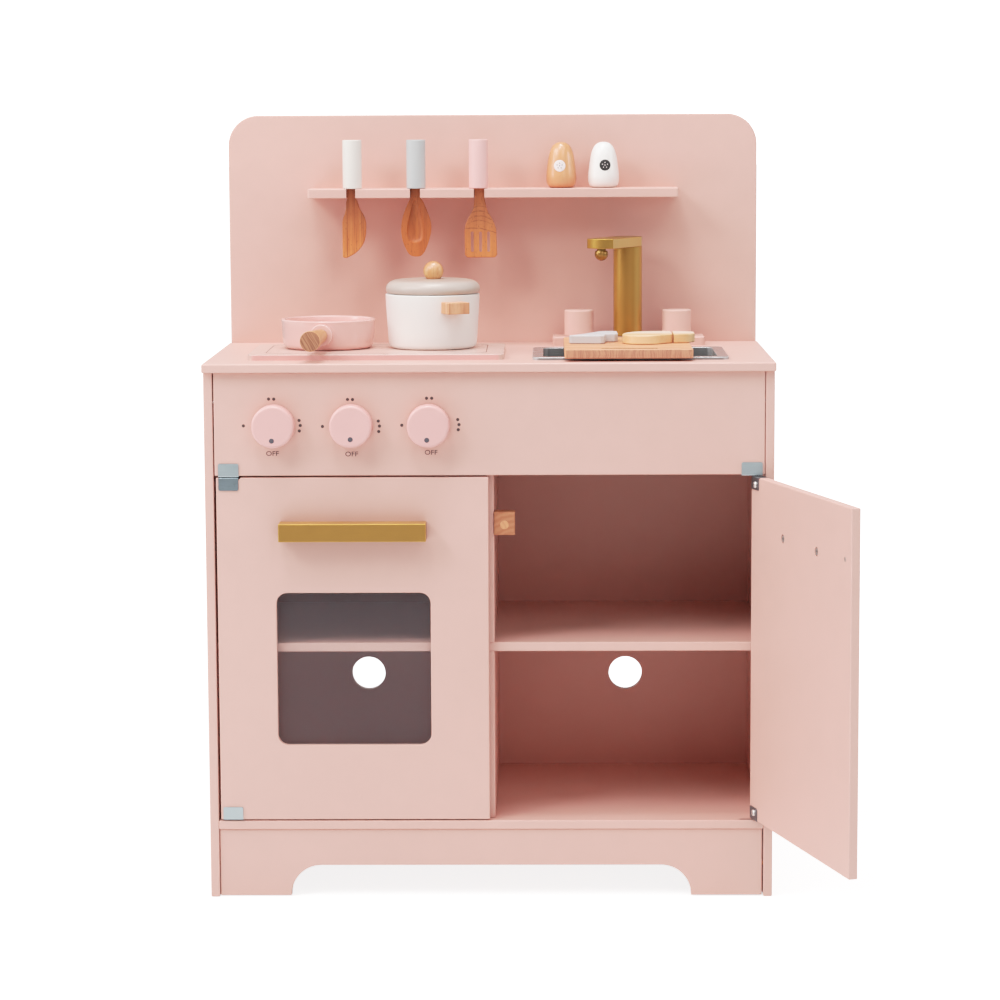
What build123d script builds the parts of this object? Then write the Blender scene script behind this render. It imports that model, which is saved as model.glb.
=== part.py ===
from build123d import *
import math
import os

os.makedirs("parts", exist_ok=True)

# A child's wooden play kitchen: a cabinet of painted boards with an oven side
# and a cupboard side, two doors on pin hinges, three turning cooker knobs, a
# swivelling tap, and the loose pots, utensils and board that stand on it.
# Millimetres. +Z is up, the cabinet faces -Y, X runs along its width.
# The dimensions are set out from the floor in the middle of the cabinet's rear
# face. The finished model is then moved by (DX, DY), so that its origin is on
# the floor at the centre of its overall box, with the cupboard door open.

# ---- driving dimensions ------------------------------------------------
DX, DY = -34.16, 283.80  # from the rear face's middle to the box's centre
T = 9.5                 # painted panel thickness
TB = 9.5                # bottom board and middle shelf thickness
W_TOP = 600.0           # countertop width
XS = 299.0              # outer face of a side panel
XI = XS - T             # inner face of a side panel
D = 301.5               # front edge of the side panels to the rear face
YF = -D                 # front plane: side panels, fascia, closed doors
YD = YF + T             # rear plane of a closed door
YG = YD + 3.5           # front edge of the divider and the middle shelf
YB = -T                 # front face of the back panel and the backboard
OVER = 7.5              # countertop overhang at the front
H_SIDE = 561.0          # height of a side panel
Z_TOP = H_SIDE + T      # worktop surface
H_ALL = 827.0           # top of the backboard
Z_SPLIT = 551.0         # joint between back panel and backboard
ZB0, ZB1 = 73.3, 82.8   # bottom board, underside and top
ZS0, ZS1 = 262.9, 272.4  # middle shelf, underside and top
Z_FASC = 452.3          # lower edge of the fascia
R_EDGE = 1.2            # softened edge of a painted board

X_BACK = 298.0          # half width of the back panel and the backboard
R_BOARD = 34.0          # rounded top corners of the backboard
ARCH_X, ARCH_Z, ARCH_R = 213.0, 34.0, 32.0
VENT_R, VENT_Z, VENT_X = 19.0, 189.0, (-145.0, 150.0)

DOOR_Z0, DOOR_Z1 = 84.1, 450.4
DOOR_IN, DOOR_OUT = 0.8, 287.0      # door edges, measured from the middle
PIVOT_X, PIVOT_Y = 281.5, YF + T / 2
OPEN_DEG = 106.0                    # how far the cupboard door stands open
WIN_X, WIN_Z, WIN_W, WIN_H, WIN_R = -143.7, 246.2, 162.6, 163.2, 11.5
HND_L, HND_H, HND_D, HND_Z, HND_X = 154.4, 18.9, 24.0, 394.6, 143.2

KNOB_X = (-225.2, -144.0, -63.0)
KNOB_Z, KNOB_R, KNOB_DEPTH = 505.6, 22.3, 20.5

SHELF_X0, SHELF_X1, SHELF_D = -205.0, 207.5, 60.0
SHELF_Z0, SHELF_Z1 = 735.2, 745.2
UT_X = (-155.4, -84.3, -14.8)            # grips
NECK_X = (-156.6, -85.15, -13.85)        # necks and notches
NECK_W = (9.0, 10.1, 10.5)
UT_Y = YB - SHELF_D + 13.5

HOB_X0, HOB_X1, HOB_Y0, HOB_Y1, HOB_H = -256.0, 15.2, -264.0, -111.5, 6.0
SINK_X0, SINK_X1, SINK_Y0, SINK_Y1 = 45.6, 253.0, -271.5, -126.5
SINK_RIM, SINK_RIM_H, SINK_DEEP, SINK_WALL = 11.5, 3.0, 40.0, 1.6

FB_X0, FB_X1, FB_Y0, FB_Y1, FB_H = 67.5, 237.0, -73.5, -22.5, 9.5
COL_X, COL_Y, COL_R = 151.6, -48.5, 16.0
COL_TOP, ARM_T, ARM_L, ARM_DEG = 680.2, 10.8, 76.0, 27.0
TAP_X, TAP_R, TAP_H = (97.0, 206.4), 16.2, 29.2

POT_X, POT_Y, POT_R, POT_R0, POT_H = -62.8, -166.5, 50.9, 47.2, 58.9
LID_X = -62.3           # the lid lies a little off the pot's centre
PAN_X, PAN_Y, PAN_R, PAN_R0, PAN_H, PAN_DEG = -176.3, -166.5, 51.0, 48.6, 31.8, 4.1
STICK_R, STICK_R0, STICK_L = 10.8, 6.9, 138.0   # free end, root, reach

CB_X0, CB_X1, CB_Y0, CB_Y1, CB_T = 79.4, 214.2, -293.0, -114.5, 9.5

GAP = 0.3               # clearance under a loose piece


# ---- helpers -----------------------------------------------------------
def box(x0, x1, y0, y1, z0, z1):
    return Pos((x0 + x1) / 2, (y0 + y1) / 2, (z0 + z1) / 2) * Box(
        abs(x1 - x0), abs(y1 - y0), abs(z1 - z0))


def soft(part, r, edges=None):
    # rounds the given edges; a smaller radius is used where r doesn't fit
    pick = part.edges() if edges is None else edges
    for k in (1.0, 0.6, 0.35):
        try:
            done = fillet(pick, r * k)
            if done.is_valid and done.volume > 0:
                return done
        except Exception:
            continue
    return part


def panel(x0, x1, y0, y1, z0, z1, r=R_EDGE):
    return soft(box(x0, x1, y0, y1, z0, z1), r)


def cyl(x, y, z0, z1, r):
    return Pos(x, y, (z0 + z1) / 2) * Cylinder(r, z1 - z0)


def cyl_y(x, z, y0, y1, r):
    return Pos(x, (y0 + y1) / 2, z) * Rot(90, 0, 0) * Cylinder(r, abs(y1 - y0))


def cyl_x(y, z, x0, x1, r):
    return Pos((x0 + x1) / 2, y, z) * Rot(0, 90, 0) * Cylinder(r, abs(x1 - x0))


def slab(points, y0, y1):
    # closed outline of (x, z) points, filled and extruded from y0 to y1
    pts = [Vector(x, 0, z) for x, z in points]
    face = make_face(Polyline(*pts, close=True))
    solid = extrude(face, amount=y1 - y0, dir=(0, 1, 0))
    return Pos(0, y0, 0) * solid


def plate(points, z0, z1):
    # closed outline of (x, y) points, filled and extruded from z0 to z1
    face = make_face(Polyline(*[Vector(x, y, 0) for x, y in points], close=True))
    return Pos(0, 0, z0) * extrude(face, amount=z1 - z0, dir=(0, 0, 1))


def spline_slab(points, y0, y1):
    face = make_face(Spline(*[Vector(x, 0, z) for x, z in points], periodic=True))
    return Pos(0, y0, 0) * extrude(face, amount=y1 - y0, dir=(0, 1, 0))


def spline_plate(points, z0, z1):
    face = make_face(Spline(*[Vector(x, y, 0) for x, y in points], periodic=True))
    return Pos(0, 0, z0) * extrude(face, amount=z1 - z0, dir=(0, 0, 1))


def turned(profile, x, y, z):
    # closed outline of (radius, height) points, turned about Z
    face = make_face(Polyline(*[Vector(r, 0, h) for r, h in profile], close=True))
    return Pos(x, y, z) * revolve(face, Axis.Z)


def rounded(runs, x, y, z):
    # turned about Z from runs of (radius, height) points that follow each other:
    # a run of two points is straight, a longer one is a smooth curve
    lines = []
    for run in runs:
        pts = [Vector(r, 0, h) for r, h in run]
        lines.append(Line(*pts) if len(pts) == 2 else Spline(*pts))
    return Pos(x, y, z) * revolve(make_face(Wire(lines)), Axis.Z)


def flowing(runs, y0, y1):
    # closed outline of runs of (x, z) points, extruded from y0 to y1
    lines = []
    for run in runs:
        pts = [Vector(x, 0, z) for x, z in run]
        lines.append(Line(*pts) if len(pts) == 2 else Spline(*pts))
    return Pos(0, y0, 0) * extrude(make_face(Wire(lines)), amount=y1 - y0, dir=(0, 1, 0))


def flowing_plate(runs, z0, z1):
    lines = []
    for run in runs:
        pts = [Vector(x, y, 0) for x, y in run]
        lines.append(Line(*pts) if len(pts) == 2 else Spline(*pts))
    return Pos(0, 0, z0) * extrude(make_face(Wire(lines)), amount=z1 - z0, dir=(0, 0, 1))


NODES = {}


def keep(name, *solids):
    NODES[name] = list(solids)


def cut(name, *tools):
    done = []
    for s in NODES[name]:
        for t in tools:
            s = s - t
        done.append(s)
    NODES[name] = done


# ---- cabinet boards ----------------------------------------------------
keep("left_side_panel", panel(-XS, -XI, YF, YB, 0, H_SIDE))
keep("right_side_panel", panel(XI, XS, YF, YB, 0, H_SIDE))
keep("bottom_board", panel(-XI, XI, YF, YB, ZB0, ZB1))

arch = box(-ARCH_X, ARCH_X, -400, 100, -50, ARCH_Z)
arch = fillet(arch.edges().filter_by(Axis.Y).group_by(Axis.Z)[-1], ARCH_R)


def arched(b):
    b = b - arch
    rim = [e for e in b.edges()
           if abs(e.center().X) < ARCH_X + 1 and e.center().Z < ARCH_Z + 1
           and e.center().Z > 1.5
           and abs(abs(e.tangent_at(0.5).Y) - 1) > 1e-3
           and e.length > 3]
    return soft(b, 1.0, rim)


# the plinth board stops short of the right side panel by a thin open gap
APR_Y0, APR_Y1, APR_X1 = YF + 2.0, YF + 2.0 + T, XI - 1.2
keep("front_apron", arched(panel(-XI + 0.6, APR_X1, APR_Y0, APR_Y1, 1.0, ZB0)))

keep("middle_shelf", panel(-XI, XI, YG, YB, ZS0, ZS1)
     - box(-T / 2, T / 2, -150.0, 10, 0, 400))
keep("divider_panel", panel(-T / 2, T / 2, YG, YB, ZB1, H_SIDE)
     - box(-20, 20, YG - 5, -150.0, ZS0, ZS1))
# a fine open joint on either side of the fascia
keep("fascia_panel", panel(-XI + 1.2, XI - 0.6, YF, YD, Z_FASC, H_SIDE))

top = panel(-W_TOP / 2, W_TOP / 2, YF - OVER, YB, H_SIDE, Z_TOP, 1.6)
sink_hole = box(SINK_X0 + 6, SINK_X1 - 6, SINK_Y0 + 6, SINK_Y1 - 6, 540, 600)
sink_hole = fillet(sink_hole.edges().filter_by(Axis.Z), 10)
keep("countertop", top - sink_hole)

# The back is two boards. The lower one closes the compartments and carries
# two round ventilation holes; both reach across the side panels' rear edges.
back = arched(panel(-X_BACK, X_BACK, YB, 0, 0, Z_SPLIT))
for vx in VENT_X:
    hole = cyl_y(vx, VENT_Z, -50, 50, VENT_R)
    back = back - hole
    rims = [e for e in back.edges().filter_by(GeomType.CIRCLE)
            if abs(e.radius - VENT_R) < 0.01 and abs(e.center().X - vx) < 1]
    back = soft(back, 0.9, rims)
keep("back_panel", back)

bb = box(-X_BACK, X_BACK, YB, 0, Z_SPLIT, H_ALL)
bb = fillet(bb.edges().filter_by(Axis.Y).group_by(Axis.Z)[-1], R_BOARD)
keep("backboard", soft(bb, 1.6))

# ---- utensil shelf with three notches open to the front -----------------
sh = box(SHELF_X0, SHELF_X1, YB - SHELF_D, YB, SHELF_Z0, SHELF_Z1)
sh = soft(sh, 3.0, [e for e in sh.edges().filter_by(Axis.Z) if e.center().Y < -60])
NOTCH_CL = 0.6          # room on either side of a neck
for cx, cw in zip(NECK_X, NECK_W):
    notch = box(cx - cw / 2 - NOTCH_CL, cx + cw / 2 + NOTCH_CL, -90, UT_Y + 3.8, 700, 800)
    sh = sh - fillet(notch.edges().filter_by(Axis.Z).group_by(Axis.Y)[-1], 1.6)
sh = soft(sh, 0.8, [e for e in sh.edges() if abs(e.center().Z - SHELF_Z0) < 0.01
                    or abs(e.center().Z - SHELF_Z1) < 0.01])
keep("utensil_shelf", sh)

# ---- cooker top ---------------------------------------------------------
hob = box(HOB_X0, HOB_X1, HOB_Y0, HOB_Y1, Z_TOP, Z_TOP + HOB_H)
hob = fillet(hob.edges().filter_by(Axis.Z), 8.0)
hob = soft(hob, 0.8, hob.edges().group_by(Axis.Z)[-1])
keep("hob_plate", hob)
Z_HOB = Z_TOP + HOB_H

# ---- sink ---------------------------------------------------------------
bx0, bx1 = SINK_X0 + SINK_RIM, SINK_X1 - SINK_RIM
by0, by1 = SINK_Y0 + SINK_RIM, SINK_Y1 - SINK_RIM
Z_RIM = Z_TOP + SINK_RIM_H
rim = box(SINK_X0, SINK_X1, SINK_Y0, SINK_Y1, Z_TOP, Z_RIM)
rim = fillet(rim.edges().filter_by(Axis.Z), 9.0)
rim = soft(rim, 1.2, rim.edges().group_by(Axis.Z)[-1])
tub = box(bx0 - SINK_WALL, bx1 + SINK_WALL, by0 - SINK_WALL, by1 + SINK_WALL,
          Z_RIM - SINK_DEEP, Z_TOP)
tub = fillet(tub.edges().filter_by(Axis.Z), 9.0)
tub = soft(tub, 4.0, tub.edges().group_by(Axis.Z)[0])
bowl = box(bx0, bx1, by0, by1, Z_RIM - SINK_DEEP + SINK_WALL, Z_RIM + 20)
bowl = fillet(bowl.edges().filter_by(Axis.Z), 7.4)
bowl = soft(bowl, 3.0, bowl.edges().group_by(Axis.Z)[0])
basin = (rim + tub) - bowl
lip = [e for e in basin.edges() if abs(e.center().Z - Z_RIM) < 0.01
       and bx0 - 1 < e.center().X < bx1 + 1 and by0 - 1 < e.center().Y < by1 + 1]
basin = soft(basin, 1.0, lip)
keep("sink_basin", basin)

# ---- tap ----------------------------------------------------------------
fb = box(FB_X0, FB_X1, FB_Y0, FB_Y1, Z_TOP, Z_TOP + FB_H)
fb = fillet(fb.edges().filter_by(Axis.Z), 4.0)
fb = soft(fb, 1.2, fb.edges().group_by(Axis.Z)[-1])
Z_FB = Z_TOP + FB_H
POST_R, POST_CL = 6.0, 0.5
fb = fb - cyl(COL_X, COL_Y, 500, 700, POST_R + POST_CL)
PEG_R = 4.0
for tx in TAP_X:
    fb = fb - cyl(tx, COL_Y, 500, 700, PEG_R + POST_CL)
keep("faucet_base", fb)
cut("countertop", cyl(COL_X, COL_Y, 500, 700, POST_R + POST_CL),
    *[cyl(tx, COL_Y, 500, 700, PEG_R + POST_CL) for tx in TAP_X])

# turned column with the peg it swivels on, held by a collar under the top
col = cyl(COL_X, COL_Y, Z_FB + GAP, COL_TOP, COL_R)
col = soft(col, 0.8, col.edges().group_by(Axis.Z)[0])
col = col + cyl(COL_X, COL_Y, H_SIDE - 9, Z_FB + GAP + 1, POST_R)
col = col + cyl(COL_X, COL_Y, H_SIDE - 9, H_SIDE - 1.0, POST_R + 4)
keep("faucet_column", col)

a = math.radians(ARM_DEG)
adir = (-math.sin(a), -math.cos(a))
aside = (math.cos(a), -math.sin(a))


def arm_pt(s, t):
    return (COL_X + adir[0] * s + aside[0] * t, COL_Y + adir[1] * s + aside[1] * t)


ARM_Z1 = COL_TOP + ARM_T
bow = 6.0               # the end of the arm is bowed
end = ThreePointArc(Vector(*arm_pt(ARM_L - bow, COL_R)), Vector(*arm_pt(ARM_L, 0)),
                    Vector(*arm_pt(ARM_L - bow, -COL_R)))
backarc = ThreePointArc(Vector(*arm_pt(0, -COL_R)), Vector(*arm_pt(-COL_R, 0)),
                        Vector(*arm_pt(0, COL_R)))
l1 = Line(Vector(*arm_pt(ARM_L - bow, -COL_R)), Vector(*arm_pt(0, -COL_R)))
l2 = Line(Vector(*arm_pt(0, COL_R)), Vector(*arm_pt(ARM_L - bow, COL_R)))
aface = make_face(Wire([end, l1, backarc, l2]))
arm = Pos(0, 0, COL_TOP) * extrude(aface, amount=ARM_T, dir=(0, 0, 1))
arm = soft(arm, 0.7)
keep("faucet_arm", arm)

nx, ny = arm_pt(ARM_L - 9.0, 0)
BALL_R = 7.4
nz = COL_TOP - 6.0
ball = Pos(nx, ny, nz) * Sphere(BALL_R)
ball = ball - box(nx - 20, nx + 20, ny - 20, ny + 20, nz + 3.6, nz + 30)
neck = cyl(nx, ny, nz + 3.0, COL_TOP, 5.0)
keep("faucet_nozzle", ball + neck)

for i, tx in enumerate(TAP_X):
    tk = cyl(tx, COL_Y, Z_FB + GAP, Z_FB + TAP_H, TAP_R)
    tk = soft(tk, 1.3, tk.edges().group_by(Axis.Z)[-1])
    tk = soft(tk, 0.6, tk.edges().group_by(Axis.Z)[0])
    tk = tk + cyl(tx, COL_Y, H_SIDE - 9, Z_FB + 2, PEG_R)
    tk = tk + cyl(tx, COL_Y, H_SIDE - 9, H_SIDE - 1.0, PEG_R + 4)
    keep(("tap_left_knob", "tap_right_knob")[i], tk)

# ---- cooker knobs on spindles through the fascia -------------------------
SP_R, SP_CL = 4.0, 0.5
for i, kx in enumerate(KNOB_X):
    cut("fascia_panel", cyl_y(kx, KNOB_Z, YF - 5, YD + 5, SP_R + SP_CL))
    kb = cyl_y(kx, KNOB_Z, YF - 0.5 - KNOB_DEPTH, YF - 0.5, KNOB_R)
    kb = soft(kb, 3.2, [e for e in kb.edges().filter_by(GeomType.CIRCLE)
                        if e.center().Y < YF - KNOB_DEPTH + 2])
    kb = soft(kb, 0.8, [e for e in kb.edges().filter_by(GeomType.CIRCLE)
                        if e.center().Y > YF - 1.0])
    kb = kb - cyl_y(kx, KNOB_Z, YF - 10.0, YF + 5, SP_R)
    keep("cooker_knob_%d" % (i + 1), kb)
    sp = cyl_y(kx, KNOB_Z, YF - 10.0, YD + 7.0, SP_R)
    sp = sp + cyl_y(kx, KNOB_Z, YD + 1.0, YD + 5.0, SP_R + 5)
    keep("knob_spindle_%d" % (i + 1), sp)

# ---- doors, built closed ------------------------------------------------
CLIP_T, CLIP_W, CLIP_H = 0.9, 21.0, 13.6
CLIP_X0, CLIP_X1 = PIVOT_X + 2.9, PIVOT_X + 2.9 - CLIP_W
PIN_R, PIN_HOLE = 1.5, 2.0


def door(side):
    # side = +1 is the cupboard door on the right, -1 the oven door on the left
    def xs(x):
        return side * x
    xa, xb = sorted((xs(DOOR_IN), xs(DOOR_OUT)))
    p = panel(xa, xb, YF, YD, DOOR_Z0, DOOR_Z1)
    ca, cb = sorted((xs(CLIP_X0), xs(CLIP_X1)))
    # shallow seats for the hinge clips, so that the clip's bend is flush
    for z0, z1 in ((DOOR_Z1 - CLIP_T, DOOR_Z1 + 5), (DOOR_Z0 - 5, DOOR_Z0 + CLIP_T)):
        p = p - box(ca, cb, YF - 5, YD + 5, z0, z1)
    # the upper seat runs on a little past the clip, with a sloping end
    seat = [(CLIP_X1 + 1.0, DOOR_Z1 + 3), (CLIP_X1 + 1.0, DOOR_Z1 - 1.9),
            (CLIP_X1 - 0.6, DOOR_Z1 - 1.9), (CLIP_X1 - 2.8, DOOR_Z1 + 0.1),
            (CLIP_X1 - 2.8, DOOR_Z1 + 3)]
    p = p - slab([(xs(x), z) for x, z in seat], YF - 5, YD + 5)
    # the clips fold over the top and the bottom edge of the door
    clips = []
    for top_end in (True, False):
        za, zb = ((DOOR_Z1 - CLIP_H, DOOR_Z1) if top_end
                  else (DOOR_Z0, DOOR_Z0 + CLIP_H))
        c = box(ca, cb, YF - CLIP_T, YD + CLIP_T, za, zb)
        c = soft(c, 0.8, [e for e in c.edges().filter_by(Axis.X)
                          if abs(e.center().Z - (zb if top_end else za)) < 0.01])
        inner = (box(ca - 1, cb + 1, YF, YD, za - 1, zb - CLIP_T) if top_end
                 else box(ca - 1, cb + 1, YF, YD, za + CLIP_T, zb + 1))
        c = c - inner
        far = za if top_end else zb
        c = soft(c, 1.6, [e for e in c.edges().filter_by(Axis.Y)
                          if abs(e.center().Z - far) < 0.01])
        c = c - cyl(xs(PIVOT_X), PIVOT_Y, za - 5, zb + 5, PIN_HOLE)
        clips.append(c)
    # blind holes for the hinge pins
    p = p - cyl(xs(PIVOT_X), PIVOT_Y, DOOR_Z1 - 13, DOOR_Z1 + 5, PIN_HOLE)
    p = p - cyl(xs(PIVOT_X), PIVOT_Y, DOOR_Z0 - 5, DOOR_Z0 + 13, PIN_HOLE)
    # handle block with a finger groove underneath
    hx = xs(HND_X)
    h = box(hx - HND_L / 2, hx + HND_L / 2, YF - HND_D, YF,
            HND_Z - HND_H / 2, HND_Z + HND_H / 2)
    h = soft(h, 0.9)
    groove = box(hx - HND_L / 2 + 10, hx + HND_L / 2 - 10, YF - HND_D + 8, YF - 3.5,
                 HND_Z - HND_H / 2 - 5, HND_Z - 2.0)
    groove = fillet(groove.edges().filter_by(Axis.Z), 3.0)
    h = h - groove
    # screws: two for the handle, one in each clip, one as the catch's strike
    screws = []
    for dx in (-48.0, 48.0):
        sz = HND_Z + 1.0
        s = cyl_y(hx + dx, sz, YF - 14, YD - 0.3, 1.6)
        s = s + cyl_y(hx + dx, sz, YD - 2.6, YD - 0.3, 3.6)
        s = s - (box(hx + dx - 2.0, hx + dx + 2.0, YD - 1.5, YD, sz - 0.4, sz + 0.4)
                 + box(hx + dx - 0.4, hx + dx + 0.4, YD - 1.5, YD, sz - 2.0, sz + 2.0))
        p = p - cyl_y(hx + dx, sz, YF - 2, YD - 2.6, 1.6)
        p = p - cyl_y(hx + dx, sz, YD - 2.6, YD + 2, 4.6)
        h = h - cyl_y(hx + dx, sz, YF - 14, YF + 2, 1.6)
        screws.append(s)
    for cz in (DOOR_Z1 - 8.2, DOOR_Z0 + 8.2):
        cx = xs(PIVOT_X - 10.0)
        s = cyl_y(cx, cz, YD - 7, YD + CLIP_T, 1.2)
        hd = cyl_y(cx, cz, YD + CLIP_T, YD + CLIP_T + 2.2, 3.5)
        hd = soft(hd, 1.7, hd.edges().filter_by(GeomType.CIRCLE).sort_by(Axis.Y)[-1:])
        s = s + hd
        s = s - box(cx - 2.2, cx + 2.2, YD + CLIP_T + 1.3, YD + CLIP_T + 3, cz - 0.4, cz + 0.4)
        p = p - cyl_y(cx, cz, YD - 7, YD + 3, 1.2)
        clips[0 if cz > 200 else 1] = clips[0 if cz > 200 else 1] - cyl_y(
            cx, cz, YD - 1, YD + 3, 1.2)
        screws.append(s)
    st_x, st_z = xs(17.6), 398.6
    st = cyl_y(st_x, st_z, YD - 7, YD - 0.6, 1.2) + cyl_y(st_x, st_z, YD - 2.0, YD - 0.2, 2.5)
    p = p - cyl_y(st_x, st_z, YD - 7, YD + 2, 1.2) - cyl_y(st_x, st_z, YD - 2.0, YD + 2, 2.5)
    screws.append(st)
    return p, h, clips, screws


# left: the oven door, closed, with its clear window
lp, lh, lc, ls = door(-1)
REB, PANE_T = 9.0, 2.0
win = box(WIN_X - WIN_W / 2, WIN_X + WIN_W / 2, YF - 5, YD + 5,
          WIN_Z - WIN_H / 2, WIN_Z + WIN_H / 2)
win = fillet(win.edges().filter_by(Axis.Y), WIN_R)
rebate = box(WIN_X - WIN_W / 2 - REB, WIN_X + WIN_W / 2 + REB, YD - PANE_T - 1.2, YD + 5,
             WIN_Z - WIN_H / 2 - REB, WIN_Z + WIN_H / 2 + REB)
rebate = fillet(rebate.edges().filter_by(Axis.Y), WIN_R + REB * 0.4)
lp = lp - win
lp = soft(lp, 1.0, [e for e in lp.edges() if abs(e.center().Y - YF) < 0.01
                    and abs(e.center().X - WIN_X) < WIN_W / 2 + 1
                    and abs(e.center().Z - WIN_Z) < WIN_H / 2 + 1])
lp = lp - rebate
pane = box(WIN_X - WIN_W / 2 - REB, WIN_X + WIN_W / 2 + REB, YD - PANE_T - 1.2, YD - 1.2,
           WIN_Z - WIN_H / 2 - REB, WIN_Z + WIN_H / 2 + REB)
pane = fillet(pane.edges().filter_by(Axis.Y), WIN_R + REB * 0.4)
ring = box(WIN_X - WIN_W / 2 - REB, WIN_X + WIN_W / 2 + REB, YD - 1.2, YD,
           WIN_Z - WIN_H / 2 - REB, WIN_Z + WIN_H / 2 + REB)
ring = fillet(ring.edges().filter_by(Axis.Y), WIN_R + REB * 0.4) - win
keep("left_door_panel", lp)
keep("window_pane", pane)
keep("window_retainer", ring)
keep("left_door_handle", lh)
keep("left_door_clips", *lc)
keep("left_door_screws", *ls)

# right: the cupboard door, standing open about its pins
rp, rh, rc, rs = door(1)


def swing(s):
    return (Pos(PIVOT_X, PIVOT_Y, 0) * Rot(0, 0, OPEN_DEG)
            * Pos(-PIVOT_X, -PIVOT_Y, 0) * s)


keep("right_door_panel", swing(rp))
keep("right_door_handle", swing(rh))
keep("right_door_clips", *[swing(s) for s in rc])
keep("right_door_screws", *[swing(s) for s in rs])

# ---- hinge brackets and pins, fixed to the cabinet -----------------------
brackets, pins = [], []
BR_T = 1.0
for side in (-1, 1):
    far, wide = ((PIVOT_X + 3.0, 21.6) if side < 0 else (PIVOT_X + 5.0, 22.0))
    a0, a1 = sorted((side * far, side * (far - wide)))
    f = box(a0, a1, YF - BR_T, YF, Z_FASC - BR_T, Z_FASC + 13.0)
    f = f + box(a0, a1, YF - BR_T, YD - 1.0, Z_FASC - BR_T, Z_FASC)
    f = soft(f, 0.9, [e for e in f.edges().filter_by(Axis.X)
                      if abs(e.center().Y - (YF - BR_T)) < 0.01
                      and abs(e.center().Z - (Z_FASC - BR_T)) < 0.01])
    f = soft(f, 1.8, [e for e in f.edges().filter_by(Axis.Y)
                      if abs(e.center().Z - (Z_FASC + 13.0)) < 0.01])
    brackets.append(f)
    pins.append(cyl(side * PIVOT_X, PIVOT_Y, Z_FASC - BR_T - 11.0, Z_FASC - BR_T, PIN_R))
    g = box(a0, a1, YF + 0.6, YD - 0.6, ZB1 - BR_T, ZB1)
    cut("bottom_board", g)
    brackets.append(g)
    pins.append(cyl(side * PIVOT_X, PIVOT_Y, ZB1, ZB1 + 11.5, PIN_R))
keep("hinge_brackets", *brackets)
keep("hinge_pins", *pins)

# ---- catch blocks beside the divider -------------------------------------
blocks, plugs = [], []
CB_W, CB_Z0, CB_Z1 = 22.0, 387.6, 411.8
for side in (-1, 1):
    a0, a1 = sorted((side * T / 2, side * (T / 2 + CB_W)))
    b = panel(a0, a1, YD + 0.8, YD + 20.8, CB_Z0, CB_Z1, 0.6)
    px, pz = side * 15.7, 398.4
    b = b - cyl_y(px, pz, YD, YD + 9.0, 4.6)
    plugs.append(cyl_y(px, pz, YD + 0.6, YD + 9.0, 4.6))
    blocks.append(b)
keep("catch_blocks", *blocks)
keep("catch_plugs", *plugs)

# ---- dowels --------------------------------------------------------------
dow = []
for side in (-1, 1):
    for yy in (-230.0, -70.0):
        dw = cyl(side * (XS - T / 2), yy, H_SIDE - 18, H_SIDE + 6, 2.5)
        dow.append(dw)
        cut("countertop", dw)
        cut("left_side_panel" if side < 0 else "right_side_panel", dw)
for side in (-1, 1):
    x_in = side * (XI - 14)
    dw = cyl_x((APR_Y0 + APR_Y1) / 2, 35.0, *sorted((x_in, side * (XI + 5))), 2.5)
    dow.append(dw)
    cut("front_apron", dw)
    cut("left_side_panel" if side < 0 else "right_side_panel", dw)
keep("panel_dowels", *dow)


# ---- countersunk screws through the outer boards --------------------------
def screw(px, py, pz, axis, length):
    # axis points out of the head; the head's face lies at the given point
    hd = Cone(1.7, 3.6, 2.0, align=(Align.CENTER, Align.CENTER, Align.MAX))
    sk = Cylinder(1.7, length - 2.0, align=(Align.CENTER, Align.CENTER, Align.MAX))
    s = hd + Pos(0, 0, -2.0) * sk
    x1 = Box(4.4, 0.8, 1.6)
    x2 = Box(0.8, 4.4, 1.6)
    full = s
    s = s - x1 - x2
    turn = {"-X": Rot(0, -90, 0), "+X": Rot(0, 90, 0), "+Y": Rot(-90, 0, 0)}[axis]
    return Pos(px, py, pz) * turn * s, Pos(px, py, pz) * turn * full


side_screws, back_screws = [], []
for side in (-1, 1):
    host = "left_side_panel" if side < 0 else "right_side_panel"
    for yy, zz, mate in ((-240.0, ZB0 + TB / 2, "bottom_board"),
                         (-70.0, ZB0 + TB / 2, "bottom_board"),
                         (-240.0, ZS0 + TB / 2, "middle_shelf"),
                         (-70.0, ZS0 + TB / 2, "middle_shelf"),
                         (YF + T / 2, 530.0, "fascia_panel")):
        s, whole = screw(side * (XS - 0.2), yy, zz, "+X" if side > 0 else "-X", 26.0)
        room = cyl_x(yy, zz, *sorted((side * (XS - 0.3), side * (XS + 2))), 3.6)
        side_screws.append(s)
        cut(host, whole, room)
        cut(mate, whole)
keep("side_screws", *side_screws)

for px, pz, mate in ((-180.0, (SHELF_Z0 + SHELF_Z1) / 2, "utensil_shelf"),
                     (0.0 + 25.0, (SHELF_Z0 + SHELF_Z1) / 2, "utensil_shelf"),
                     (180.0, (SHELF_Z0 + SHELF_Z1) / 2, "utensil_shelf"),
                     (-230.0, H_SIDE + T / 2, "countertop"),
                     (0.0, H_SIDE + T / 2, "countertop"),
                     (230.0, H_SIDE + T / 2, "countertop"),
                     (-294.2, 420.0, "left_side_panel"),
                     (-294.2, 150.0, "left_side_panel"),
                     (294.2, 420.0, "right_side_panel"),
                     (294.2, 150.0, "right_side_panel"),
                     (0.0, 420.0, "divider_panel"),
                     (0.0, 150.0, "divider_panel")):
    s, whole = screw(px, -0.2, pz, "+Y", 28.0)
    room = cyl_y(px, pz, -0.3, 2.0, 3.6)
    back_screws.append(s)
    cut("backboard" if pz > Z_SPLIT else "back_panel", whole, room)
    cut(mate, whole)
keep("back_screws", *back_screws)

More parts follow.
